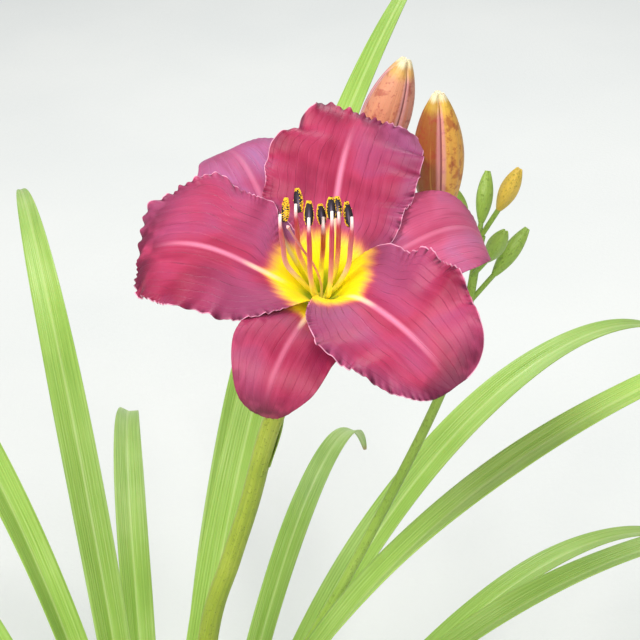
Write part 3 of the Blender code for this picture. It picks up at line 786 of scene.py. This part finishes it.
RED = filament_finish("filament_red", [(0.0, "F2E820"), (0.30, "FBE650"), (0.42, "F6B49A"),
                                       (0.60, "DE6272"), (0.90, "D2405E"), (0.96, "FBE8E0")])
PALE = filament_finish("filament_pink", [(0.0, "F2E820"), (0.30, "FBE650"), (0.42, "FAD4B8"),
                                         (0.60, "F0A0A4"), (0.90, "DA5C70"), (0.97, "FBE8E0")])
DARK = filament_finish("filament_dark", [(0.0, "F2E820"), (0.32, "FBE650"), (0.44, "E89080"),
                                         (0.56, "B01C28"), (0.84, "C8404C"), (0.94, "FBE4DC")])
THREADS = (PALE, RED, RED, DARK, RED, RED, PALE)
for k, (tip, *_) in enumerate(STAMENS):
    turn = math.radians(360 / 7 * (0.75 + FOOT_ORDER.index(k + 1)))
    path = curve_points(filament_path(tip, turn), 60)
    thread = rod(f"filament_thread_{k + 1}", in_bloom(path), filament_radius, 14, 62,
                 lambda f, a: 1 + 0.04 * np.cos(3 * a + 9 * f), THREADS[k])
    settle(thread, "filament", f"filament_{k + 1}")


# %% [markdown]
# ## Anthers
# An anther is a dark pod of two long lobes that has split along its sides, where beads of
# yellow pollen sit. The beads are copies of one small ball, strewn by a seeded rule.

# %% Anthers
POD_POINTS = 34
POLLEN_SEED = 40
BEAD_SQUASH = 0.8


def anther_finish():
    f = Finish("anther_plum", Sheen_Weight=0.03, Sheen_Roughness=0.35,
               Sheen_Tint=tint("B9A9C6"), Specular_IOR_Level=0.3)
    way, around, _ = f.measured("place")
    streak = f.noise(f.vector(way, f.times(around, 14.0)), 3.0, 3.0)
    colour = f.ramp(streak, [(0.3, "0C0408"), (0.5, "1C0C18"), (0.62, "2E1A2C"), (0.8, "54405A")])
    # painted highlight: a pale grey-plum gleam along one face of the pod, fading toward one end
    front = f.math("SINE", f.times(around, 2 * math.pi))
    painted_gleam = f.times(f.fade(front, -0.90, -1.0), f.fade(way, 0.85, 0.25))
    colour = f.lay(colour, "8E7C98", painted_gleam, 0.55)
    rough = f.scaled(streak, 0.3, 0.35)
    return f.finish(colour, rough, streak, 0.00015)


def pollen_finish():
    f = Finish("pollen_yellow", Subsurface_Weight=0.1, Subsurface_Scale=0.0004)
    speck = f.noise(f.places(), 2500, 2.0)
    colour = f.ramp(speck, [(0.3, "F0A408"), (0.5, "FFC81A"), (0.7, "FFE04A")])
    return f.finish(colour, f.scaled(speck, 0.3, 0.6), speck, 0.00008)


ANTHER, POLLEN = anther_finish(), pollen_finish()


def anther_section(f, a):
    """a flat pod: a furrow down the front, split sides, and two lobes at its foot"""
    flat = 1 / np.sqrt(np.cos(a) ** 2 + (np.sin(a) / ANTHER_FLAT) ** 2)
    front = np.exp(-((np.sin(a) + 1) / 0.10) ** 2) + np.exp(-((np.sin(a) - 1) / 0.10) ** 2)
    split = np.exp(-(np.sin(a) / 0.16) ** 2)
    cleft = smooth((0.2 - f) / 0.2)
    grain = 0.015 * np.sin(23 * f + 5 * a)
    return flat * (1 - (0.16 + 0.45 * cleft) * front - 0.10 * split + grain)


def anther_radius(f):
    return ANTHER_WIDTH / 2 * (0.22 + 0.78 * math.sin(math.pi * (0.14 + 0.82 * f)) ** 0.85)


def bead(radius):
    """one grain clump: a small icosphere, whose points and faces are copied about"""
    bpy.ops.object.select_all(action="DESELECT")
    bpy.ops.mesh.primitive_ico_sphere_add(subdivisions=1, radius=radius)
    ball = bpy.context.object
    points = get_points(ball)
    faces = [tuple(p.vertices) for p in ball.data.polygons]
    bpy.data.objects.remove(ball, do_unlink=True)
    return points, faces


BEAD_POINTS, BEAD_FACES = bead(1.0)


def scatter(name, centres, sizes, material):
    """copies of the bead at the centres, as one mesh; points in mm"""
    verts, faces = [], []
    for n, (centre, size) in enumerate(zip(centres, sizes)):
        verts.append(BEAD_POINTS * size * (1, 1, BEAD_SQUASH) + centre)
        base = n * len(BEAD_POINTS)
        faces += [tuple(base + i for i in face) for face in BEAD_FACES]
    mesh = bpy.data.meshes.new(name)
    mesh.from_pydata((np.concatenate(verts) * MM).tolist(), [], faces)
    mesh.materials.append(material)
    mesh.shade_smooth()
    obj = bpy.data.objects.new(name, mesh)
    bpy.context.scene.collection.objects.link(obj)
    return obj


DUSTED = [  # how far a pod is turned; its pollen's share on the right, spread and beads
    (-0.9, 0.9, 0.9, 480),
    (-0.2, 0.95, 0.34, 200),
    (0.1, 0.5, 0.15, 200),
    (0.15, 0.3, 0.20, 200),
    (0.1, 0.25, 0.18, 200),
    (-0.2, 0.5, 0.50, 200),
    (0.3, 0.04, 0.26, 200),
]
for k, (tip, right, up, lean, length) in enumerate(STAMENS):
    draw = random.Random(POLLEN_SEED + k)
    middle = np.array(tip) + ACROSS * right + ALONG * up + BEHIND * ANTHER_BEHIND
    a = math.radians(lean)
    pointing = ACROSS * math.sin(a) + ALONG * math.cos(a)
    beside = np.cross(BEHIND, pointing)
    spine = np.array([middle + pointing * length * f + BEHIND * 0.5 * math.sin(math.pi * (f + 0.5))
                      for f in np.linspace(-0.5, 0.5, POD_POINTS)])
    turned, right_side, wide, beads = DUSTED[k]
    pod = rod(f"anther_pod_{k + 1}", in_bloom(spine), anther_radius, 36, 38,
              lambda f, a, z=turned: anther_section(f, a - z), ANTHER)
    settle(pod, "anther", f"anther_{k + 1}")
    centres, sizes = [], []
    for _ in range(beads):
        f = 1 - 0.95 * draw.random() ** 1.2
        edge = draw.gauss(0, wide) + (0 if draw.random() < right_side else math.pi)
        if draw.random() < 0.3:
            f, edge = draw.uniform(0.90, 1.0), draw.uniform(0, 2 * math.pi)
        r = anther_radius(f) * anther_section(f, edge) * draw.uniform(0.95, 1.1)
        edge += turned
        station = int(f * (POD_POINTS - 1))
        centres.append(in_bloom(spine[station] + beside * r * math.cos(edge)
                                + BEHIND * r * math.sin(edge)))
        sizes.append(draw.uniform(0.16, 0.30))
    settle(scatter(f"pollen_{k + 1}", centres, sizes, POLLEN), "anther")


# %% [markdown]
# ## Pistil
# The style is a single pale thread, longer than the stamens, that leans to the left and ends
# in a small three-lobed stigma.

# %% Style and stigma
STIGMA_AT = (-12, -9, 55)
style_path = curve_points([(0, 0, 0), (0, 0, 9), (-3, -2, 24), (-8, -5.5, 40), STIGMA_AT], 46)
pale_thread = filament_finish("style_pink", [(0.0, "F2E250"), (0.16, "F8C890"), (0.4, "EE9C98"),
                                             (0.8, "E8969E"), (0.97, "E8A8A4")])


def style_radius(f):
    return 0.44 + 0.24 * max(0.0, f - 0.94) * 12


style = rod("style_thread", in_bloom(style_path), style_radius, 14, 50,
            lambda f, a: 1 + 0.22 * smooth((f - 0.93) / 0.07) * np.cos(3 * a), pale_thread)
settle(style, "style", "pistil")

# %% [markdown]
# ## Tube and ovary
# Under the tepals the flower narrows to a tube with the swollen ovary inside. It is turned
# from a profile, lightly ribbed, and shades from yellow at the throat to green at the foot.
# Corners that share a height are set a hair apart, so that the profile can be looked up.

# %% Tube
TUBE_LENGTH, GAP = 34.0, 0.3
PROFILE = [(PETAL_RING + 0.7, -GAP), (PETAL_RING + 0.7, -SEPAL_DROP - GAP),
           (SEPAL_RING + 1.7, -SEPAL_DROP - GAP), (4.6, -8), (3.4, -16), (3.1, -22),
           (3.9, -26), (3.9, -30), (2.9, -TUBE_LENGTH)]


def tube_finish():
    f = Finish("tube_yellow_green", Subsurface_Weight=0.1, Subsurface_Scale=0.001)
    way, around, _ = f.measured("place")
    streak = f.noise(f.vector(way, f.times(around, 12.0)), 2.0, 3.0)
    colour = f.ramp(f.scaled(streak, 0.12, way),
                    [(0.05, "D9CE3A"), (0.4, "B9BE40"), (0.75, "8EA33A"), (1.0, "7E9A34")])
    return f.finish(colour, f.scaled(streak, 0.2, 0.35), streak, 0.0002)


corners = np.array([-z for _, z in PROFILE])
corners[1:3] += (0.01, 0.02)
radii = np.array([r for r, _ in PROFILE])
depths = np.concatenate([[0.3, 0.31, 2.05, 2.1, 2.12], np.linspace(2.2, TUBE_LENGTH, 40)])


def tube_radius(f):
    depth = depths[round(f * (len(depths) - 1))]
    return float(np.interp(depth, corners, radii))


tube = rod("tube_and_ovary", in_bloom([(0, 0, -z) for z in depths]), tube_radius, 48, 46,
           lambda f, a: 1 + 0.03 * np.cos(6 * a) * smooth(f / 0.2), tube_finish())
settle(tube, "tube", "perianth_tube")


# %% [markdown]
# ## Buds
# A bud is three sepals closed edge to edge: the section has three soft lobes with a narrow
# seam between them, and at the top the tips part a little and turn pale.

# %% Bud shape and finish
def bud_finish(name, stops, panels, blotch, strip, shift):
    """stops run from foot to tip; panels are the tints of the three sepals"""
    f = Finish(name, Subsurface_Weight=0.08, Subsurface_Scale=0.001, Sheen_Weight=0.05)
    way, around, _ = f.measured("place")
    around = f.math("FRACT", f.math("ADD", around, shift))
    streak = f.noise(f.vector(way, f.times(around, 22.0)), 1.2, 4.0, 0.6)
    colour = f.ramp(f.scaled(streak, 0.2, f.math("SUBTRACT", way, 0.1)), stops)
    # seams lie at 1/6, 1/2 and 5/6 of the way round, so a panel is the third between two
    third = f.math("FRACT", f.math("ADD", around, 1 / 6))
    for n, (shade, amount) in enumerate(panels):
        inside = f.times(f.fade(third, n / 3 - 0.01, n / 3 + 0.01),
                        f.fade(third, (n + 1) / 3 + 0.01, (n + 1) / 3 - 0.01))
        colour = f.lay(colour, shade, inside, amount)
    dots = f.noise(f.places(), 170, 3.0, 0.6, 0.2)
    specks = f.noise(f.places(), 520, 2.0, 0.6)
    colour = f.lay(colour, blotch, f.fade(dots, 0.50, 0.64), 0.62)
    colour = f.lay(colour, blotch, f.fade(specks, 0.56, 0.66), 0.5)
    colour = f.lay(colour, "F0C060", f.fade(streak, 0.55, 0.75), 0.35)
    edge = f.stripes(f.times(around, 3.0))
    colour = f.lay(colour, strip, f.fade(edge, 0.13, 0.06), 0.65)
    colour = f.lay(colour, "6A2420", f.fade(edge, 0.03, 0.01), 0.8)
    crown = f.scaled(streak, 0.06, way)
    colour = f.lay(colour, "D8B83C", f.fade(crown, 0.90, 0.97), 0.5)
    colour = f.lay(colour, "E2D6AC", f.fade(crown, 0.975, 1.015))
    rough = f.scaled(dots, 0.3, 0.34)
    return f.finish(colour, rough, f.math("ADD", streak, dots), 0.0003)


BUD_RADIUS = 10.9
# where each bud's foot and tip are, and how far it is turned
BUDS = {"bud_1": ((95, 42, 503), (114, 38, 565), 0.0),
        "bud_2": ((128, 17, 497.5), (126, 16, 560.5), 0.44)}


def bud_radius(f):
    swell = math.sin(math.pi * min(1, 0.06 + 0.9 * f) ** 1.25) ** 0.75
    return BUD_RADIUS * max(0.17 if f > 0.5 else 0.26, swell * (1 - 0.12 * f))


def bud_section(f, a):
    seam = np.exp(-((np.cos(1.5 * a)) / 0.10) ** 2)
    open_tip = smooth((f - 0.86) / 0.14)
    seam = np.maximum(seam, open_tip * np.exp(-((np.cos(1.5 * a)) / 0.45) ** 2))
    return 1 + 0.05 * np.cos(3 * a) - (0.07 + 0.5 * open_tip) * seam * smooth(f / 0.08) \
        + 0.012 * np.cos(18 * a) * np.sin(math.pi * f)


def bud(name, finish):
    low, high, turn = BUDS[name]
    low, high = np.array(low, float), np.array(high, float)
    path = [low + (high - low) * f for f in np.linspace(0, 1, 100)]
    return rod(name + "_closed", path, bud_radius, 96, 100,
               lambda f, a: bud_section(f, a + turn), finish)


bud_rose = bud_finish("bud_salmon", [(0.0, "8E9C3A"), (0.12, "B87A40"), (0.35, "B85A44"),
                                     (0.62, "CE8664"), (1.0, "D8A47C")],
                      [("C07078", 0.3), ("B86C84", 0.6), ("CC8068", 0.4)], "9C3A34", "E0A4A8", 0.0)
bud_gold = bud_finish("bud_gold", [(0.0, "9AA53C"), (0.12, "B8862C"), (0.45, "C06A2C"),
                                   (0.8, "C47A2C"), (1.0, "DCA030")],
                      [("DCAC48", 0.65), ("C86830", 0.3), ("763410", 0.7)], "96301C", "D68C94",
                      0.07)
settle(bud("bud_1", bud_rose), "bud", "bud_1")
settle(bud("bud_2", bud_gold), "bud", "bud_2")


# %% [markdown]
# ## Stems
# The flowering scape rises from the crown and forks under the bloom. It is olive green, waxy,
# faintly ribbed and flecked. Its parts are rolled one by one and joined into one piece: the
# stem, the bloom's stalk, the branch, and a stalk for each large bud.

# %% Stem finish
def stem_finish(name, stops):
    f = Finish(name, Subsurface_Weight=0.05, Subsurface_Scale=0.001)
    way, around, _ = f.measured("place")
    ribs = f.noise(f.vector(f.times(way, 5.0), f.times(around, 26.0)), 1.5, 4.0, 0.6)
    cloud = f.noise(f.places(), 22, 3.0)
    colour = f.ramp(f.scaled(ribs, 0.5, f.times(cloud, 0.5)), stops)
    flecks = f.fade(f.noise(f.places(), 900, 1.0), 0.60, 0.75)
    colour = f.lay(colour, "6C7A22", flecks, 0.3)
    rough = f.scaled(cloud, 0.25, 0.3)
    return f.finish(colour, rough, f.math("ADD", ribs, flecks), 0.00025)


SCAPE = stem_finish("scape_olive", [(0.3, "7F9428"), (0.5, "9DAD34"), (0.7, "B9C355")])
YOUNG = stem_finish("young_green", [(0.3, "7EA03A"), (0.5, "97B64A"), (0.7, "B4CB6A")])
YOUNG_GOLD = stem_finish("young_gold", [(0.3, "C2A838"), (0.5, "DDB848"), (0.7, "E8CC6C")])
STEM_RADII, BRANCH_RADII, YOUNG_RADII = (5.2, 3.9), (3.3, 2.7), (3.2, 2.0)
PEDICEL_RADIUS, STALK_RADIUS, YOUNG_STALK_RADIUS = 2.7, 2.4, 1.2
SCAPE_PATH = [(0, -1, 29.3), (9, -7, 120), (19, -16, 220), (30, -26, 318), (41, -30, 362),
              (50, -33, 396), (58, -36, 432), (65, -32, 450)]
BRANCH_PATH = [(61, -35, 442), (72, -20, 461), (86, -4, 478), (98, 8, 489)]
YOUNG_PATH = [(11, 5.7, 29.3), (22, 14, 110), (50, 28, 205), (98, 48, 300), (140, 70, 392),
              (153, 84, 458)]


def taper(big, small):
    return lambda f: big + (small - big) * f ** 1.5


def ribbed(f, a):
    return 1 + 0.025 * np.cos(7 * a) + 0.015 * np.sin(12 * a + 3 * f)


def join(name, parts):
    pick(*parts)
    bpy.ops.object.join()
    piece = bpy.context.object
    piece.name = name
    return piece


# %% Flowering scape
foot = BLOOM_AT - AXES[2] * (TUBE_LENGTH + 2 * GAP)
PEDICEL_PATH = [(60, -36, 438), (69, -31, 453), foot - AXES[2] * 7, foot]
STALK_STARTS = {"bud_1": (96, 6, 487), "bud_2": (93, 4, 484.5)}


def pedicel_radius(f):
    return PEDICEL_RADIUS * (1 + 0.12 * smooth((f - 0.7) / 0.3))


parts = [rod("scape_stem", curve_points(SCAPE_PATH, 120), taper(*STEM_RADII), 32, 122, ribbed,
             SCAPE),
         rod("pedicel", curve_points(PEDICEL_PATH, 30), pedicel_radius, 24, 32, ribbed, SCAPE),
         rod("branch", curve_points(BRANCH_PATH, 40), taper(*BRANCH_RADII), 24, 42, ribbed,
             SCAPE)]
for k, (name, start) in enumerate(STALK_STARTS.items()):
    low, high = (np.array(p, float) for p in BUDS[name][:2])
    along = (high - low) / np.linalg.norm(high - low)
    end = low - along * 2 * GAP
    start = np.array(start, float)
    path = curve_points([start, (start + end) / 2 + (0, 0, -2), end - along * 5, end], 26)
    parts.append(rod(f"stalk_{k}", path, lambda f: STALK_RADIUS, 20, 28, ribbed, SCAPE))
settle(join("scape_stem", parts), "stem", "scape")


# %% [markdown]
# ## Bracts
# Two small pointed scales clasp the stem, one under the fork and one on the branch. Each is a
# grid that is bent round the stem, less and less toward its tip.

# %% Bracts
BRACTS = {
    "bract_lower": dict(foot=(54.9, -34.8, 418), toward=(11, -2, 46), facing=(0.6, 0.8, 0),
                        length=24, radius=4.4),
    "bract_upper": dict(foot=(80.4, -10.4, 471.2), toward=(14, 16, 17), facing=(0.5, 0.3, -1),
                        length=16, radius=3.35),
}


def bract(name, foot, toward, facing, length, radius):
    """a small pointed scale; foot is on the stem's middle line, toward runs along it"""
    piece = add_grid(name, 26, 12)
    flat = get_points(piece)
    u, v = (flat[:, 0] + 1) / 2, flat[:, 1]
    a = np.array(toward, float) / np.linalg.norm(toward)
    b = np.array(facing, float) - a * np.dot(facing, a)
    b = b / np.linalg.norm(b)
    phi = math.radians(85) * (1 - 0.97 * u) ** 0.8 * v
    r = radius + 2.2 * u ** 2
    points = np.array(foot, float) + np.outer(u, a) * length
    points += np.outer(r * np.cos(phi), b) + np.outer(r * np.sin(phi), np.cross(a, b))
    set_points(piece, points)
    keep(piece, "place", np.stack([u, v, r], 1))
    thicken(piece, 0.5)
    piece.data.materials.append(YOUNG)
    return piece


for name, numbers in BRACTS.items():
    settle(bract(name, **numbers), "stem")


# %% [markdown]
# ## The young scape
# A second, younger scape carries six small buds round its tip. Each one stands 0.382 of a
# turn on from the last, as buds and leaves on a stem often do, so that no two are in line.
# Four are green and two are turning golden.

# %% Young scape with its small buds
YOUNG_BUDS, GOLDEN_ONES, BUD_STEP, YOUNG_SEED = 6, (1, 5), 0.382, 4


def young_swell(f):
    return 0.12 + 0.88 * math.sin(math.pi * (0.07 + 0.86 * f)) ** 0.9


parts = [rod("young_stem", curve_points(YOUNG_PATH, 110), taper(*YOUNG_RADII), 20, 112, ribbed,
             YOUNG)]
tip = np.array(YOUNG_PATH[-1], float)
draw = random.Random(YOUNG_SEED)
for k in range(YOUNG_BUDS):
    a = 2 * math.pi * (k * BUD_STEP) + 0.4
    height = -26 + 7.5 * k
    root = np.array([np.interp(tip[2] + height - 8, *zip(*[(p[2], p[c]) for p in YOUNG_PATH]))
                     for c in range(3)])
    reach = np.array([math.cos(a) * (16 - 1.6 * k), math.sin(a) * (16 - 1.6 * k), 16.0])
    size = draw.uniform(3.6, 5.2)
    stalk = curve_points([root, root + reach * 0.45, root + reach], 16)
    parts.append(rod(f"young_stalk_{k}", stalk, lambda f: YOUNG_STALK_RADIUS, 12, 18, ribbed,
                     YOUNG))
    spine = curve_points([root + reach * 0.9, root + reach * 1.9 + (0, 0, 5)], 30)
    parts.append(rod(f"young_bud_{k}", spine, lambda f, z=size: z * young_swell(f), 30, 32,
                     bud_section, YOUNG_GOLD if k in GOLDEN_ONES else YOUNG, 0.3 * k))
settle(join("young_stem", parts), "stem", "young_scape")


# %% [markdown]
# ## Leaves
# A daylily leaf is a long keeled strap: it stands folded at the foot, opens along its length
# and arches over. All the leaves come from one recipe, with numbers drawn in the same order
# as the solids', so each fine blade lies in the place of its own node.

# %% Leaf recipe
TERRACES = [(44.0, 17.0), (29.5, 23.0), (17.0, 28.5)]   # radius and height of each step
TIERS = [   # leaves, ring radius, step, first angle; ranges of length, rise, bend, half width
    (12, 36.0, 0, 11, (430, 500), (56, 65), (112, 128), (9.0, 11.5)),
    (11, 23.5, 1, 43.4, (530, 640), (73, 79), (105, 130), (10.0, 12.5)),
    (5, 12.0, 2, 65, (540, 640), (82, 86), (62, 95), (9.0, 11.5)),
]
LEAF_SEED = 3
LEAF_THICKNESS = 0.55


def leaf_specs():
    rng = random.Random(LEAF_SEED)
    specs = []
    for count, r0, step, first, length, rise, bend, width in TIERS:
        for k in range(count):
            az = 360 * k / count + first + rng.uniform(-3, 3)
            z0 = TERRACES[step][1] + GAP + 0.3
            specs.append(dict(az=az, drift=rng.uniform(-7, 7), r0=r0, z0=z0,
                              length=rng.uniform(*length), rise=rng.uniform(*rise),
                              bend=rng.uniform(*bend), width=rng.uniform(*width),
                              fold=rng.uniform(38, 46), twist=rng.uniform(-25, 25)))
    return specs


def leaf_surface(S, T, az, drift, r0, z0, length, rise, bend, width, fold, twist):
    steps = 160
    s = np.linspace(0, 1, steps + 1)
    lift = np.radians(rise - bend * s ** 1.55)
    a = np.radians(az + drift * s ** 1.5)
    rad = np.stack([np.cos(a), np.sin(a), 0 * a], -1)
    lat = np.stack([-np.sin(a), np.cos(a), 0 * a], -1)
    up = np.array([0.0, 0.0, 1.0])
    tan = np.cos(lift)[:, None] * rad + np.sin(lift)[:, None] * up
    nor = -np.sin(lift)[:, None] * rad + np.cos(lift)[:, None] * up
    mid = np.zeros((steps + 1, 3))
    mid[1:] = np.cumsum(0.5 * (tan[1:] + tan[:-1]) * length / steps, 0)
    mid += r0 * rad[0] + z0 * up
    half = width * (0.5 + 0.5 * smooth(S / 0.3)) * (1 - S ** 3.2) ** 0.8 + 0.9 * S
    angle = np.radians(fold * (1 - smooth(S / 0.8)) + 16)
    spin = np.radians(twist) * S ** 1.5
    c, l, n = (np.stack([np.interp(S, s, v[:, k]) for k in range(3)], -1)
               for v in (mid, lat, nor))
    b = l * np.cos(spin)[:, None] + n * np.sin(spin)[:, None]
    m = n * np.cos(spin)[:, None] - l * np.sin(spin)[:, None]
    keel = np.sqrt(T ** 2 + 0.004) - 0.06
    droop = -0.05 * T ** 4 * smooth(S / 0.4)
    return (c + b * (T * half * np.cos(angle))[:, None]
            + m * ((keel + droop) * half * np.sin(angle))[:, None]), half, m


def leaf(name, material, spec, seed):
    piece = add_grid(name, 110, 14)
    flat = get_points(piece)
    S, T = 0.997 * (flat[:, 0] + 1) / 2, flat[:, 1]
    points, half, m = leaf_surface(S, T, **spec)
    sway = 0.5 * np.sin(9 * S + seed) * T + 0.25 * np.sin(31 * S + 2 * seed) * T ** 3
    points = points + m * (sway * smooth(S / 0.2))[:, None]
    set_points(piece, points)
    keep(piece, "place", np.stack([S * spec["length"], T * half, S], 1))
    thicken(piece, LEAF_THICKNESS)
    piece.data.materials.append(material)
    return piece


def leaf_finish():
    f = Finish("leaf_green", Subsurface_Weight=0.08, Subsurface_Scale=0.001, Sheen_Weight=0.05)
    along, across, way = f.measured("place")
    _, t = f.own_map()
    cloud = f.noise(f.places(), 14, 3.0)
    streak = f.noise(f.vector(f.times(along, 0.012), across), 1.1, 4.0, 0.6)
    green = f.ramp(f.scaled(streak, 0.6, f.times(cloud, 0.4)),
                   [(0.3, "7FA63C"), (0.5, "9CC055"), (0.68, "B9D47C")])
    lines = f.stripes(f.times(t, 8.0))
    green = f.lay(green, "5F8A2C", f.fade(lines, 0.2, 0.0), 0.25)
    off = f.math("ABSOLUTE", across)
    green = f.lay(green, "D2E29A", f.fade(off, 1.3, 0.2), 0.32)
    green = f.lay(green, "D9DFA8", f.fade(way, 0.10, 0.0), 0.8)
    dry = f.fade(f.scaled(cloud, 0.05, way), 0.995, 1.03)
    green = f.lay(green, "B58A4A", dry)
    rough = f.scaled(cloud, 0.2, 0.34)
    return f.finish(green, rough, f.scaled(lines, 0.6, streak), 0.0003)


# %% Lay the leaves
LEAF = leaf_finish()
for k, spec in enumerate(leaf_specs()):
    settle(leaf(f"leaf_blade_{k + 1:02d}", LEAF, spec, 0.8 * k), "leaf", f"leaf_{k + 1:02d}")


# %% [markdown]
# ## Crown
# The crown is the short woody base that the leaves grow from, cut flat under it. It is built
# as by hand: a disk, extruded upward and scaled step by step, with each tier of leaf bases
# left as a terrace.

# %% Crown
def crown_finish():
    f = Finish("crown_fibre")
    cloud = f.noise(f.places(), 60, 4.0)
    fibre = f.noise(f.vector(*[f.times(c, k) for c, k in
                               zip(f.split(f.places()), (260, 260, 30))]), 1.0, 4.0, 0.65)
    colour = f.ramp(f.scaled(fibre, 0.6, f.times(cloud, 0.4)),
                    [(0.3, "6E5A38"), (0.45, "9A8A58"), (0.6, "B8B47C"), (0.75, "CFCF9A")])
    return f.finish(colour, f.scaled(fibre, 0.3, 0.6), fibre, 0.0008)


def crown():
    edge, low = TERRACES[0]
    profile = [(edge - 4, 0.0), (edge - 0.6, 3.0), (edge, 6.0), (edge, low - 3), (edge - 1.5, low)]
    for r, z in TERRACES[1:]:
        profile += [(r + 0.8, low), (r, z - 1.0), (r - 0.8, z)]
        low = z
    bpy.ops.object.select_all(action="DESELECT")
    bpy.ops.mesh.primitive_circle_add(vertices=120, radius=profile[0][0] * MM, fill_type="NGON")
    piece = bpy.context.object
    piece.name = "crown_base"
    bpy.ops.object.mode_set(mode="EDIT")
    bpy.ops.mesh.select_all(action="SELECT")
    for (r0, z0), (r1, z1) in zip(profile, profile[1:]):
        bpy.ops.mesh.extrude_region_move(TRANSFORM_OT_translate={"value": (0, 0, (z1 - z0) * MM)})
        bpy.ops.transform.resize(value=(r1 / r0, r1 / r0, 1))
    bpy.ops.mesh.inset(thickness=4 * MM)
    bpy.ops.object.mode_set(mode="OBJECT")
    points = get_points(piece) / MM
    angle = np.arctan2(points[:, 1], points[:, 0])
    outer = (np.hypot(points[:, 0], points[:, 1]) > edge - 8) & (points[:, 2] < 18)
    wob = 1 + (0.05 * np.sin(3 * angle + 0.8) + 0.03 * np.sin(5 * angle)
               + 0.008 * np.sin(37 * angle)) * outer
    points[:, :2] *= wob[:, None]
    set_points(piece, points)
    piece.data.materials.append(crown_finish())
    clean(piece, 40)
    return piece


settle(crown(), "crown", "crown")
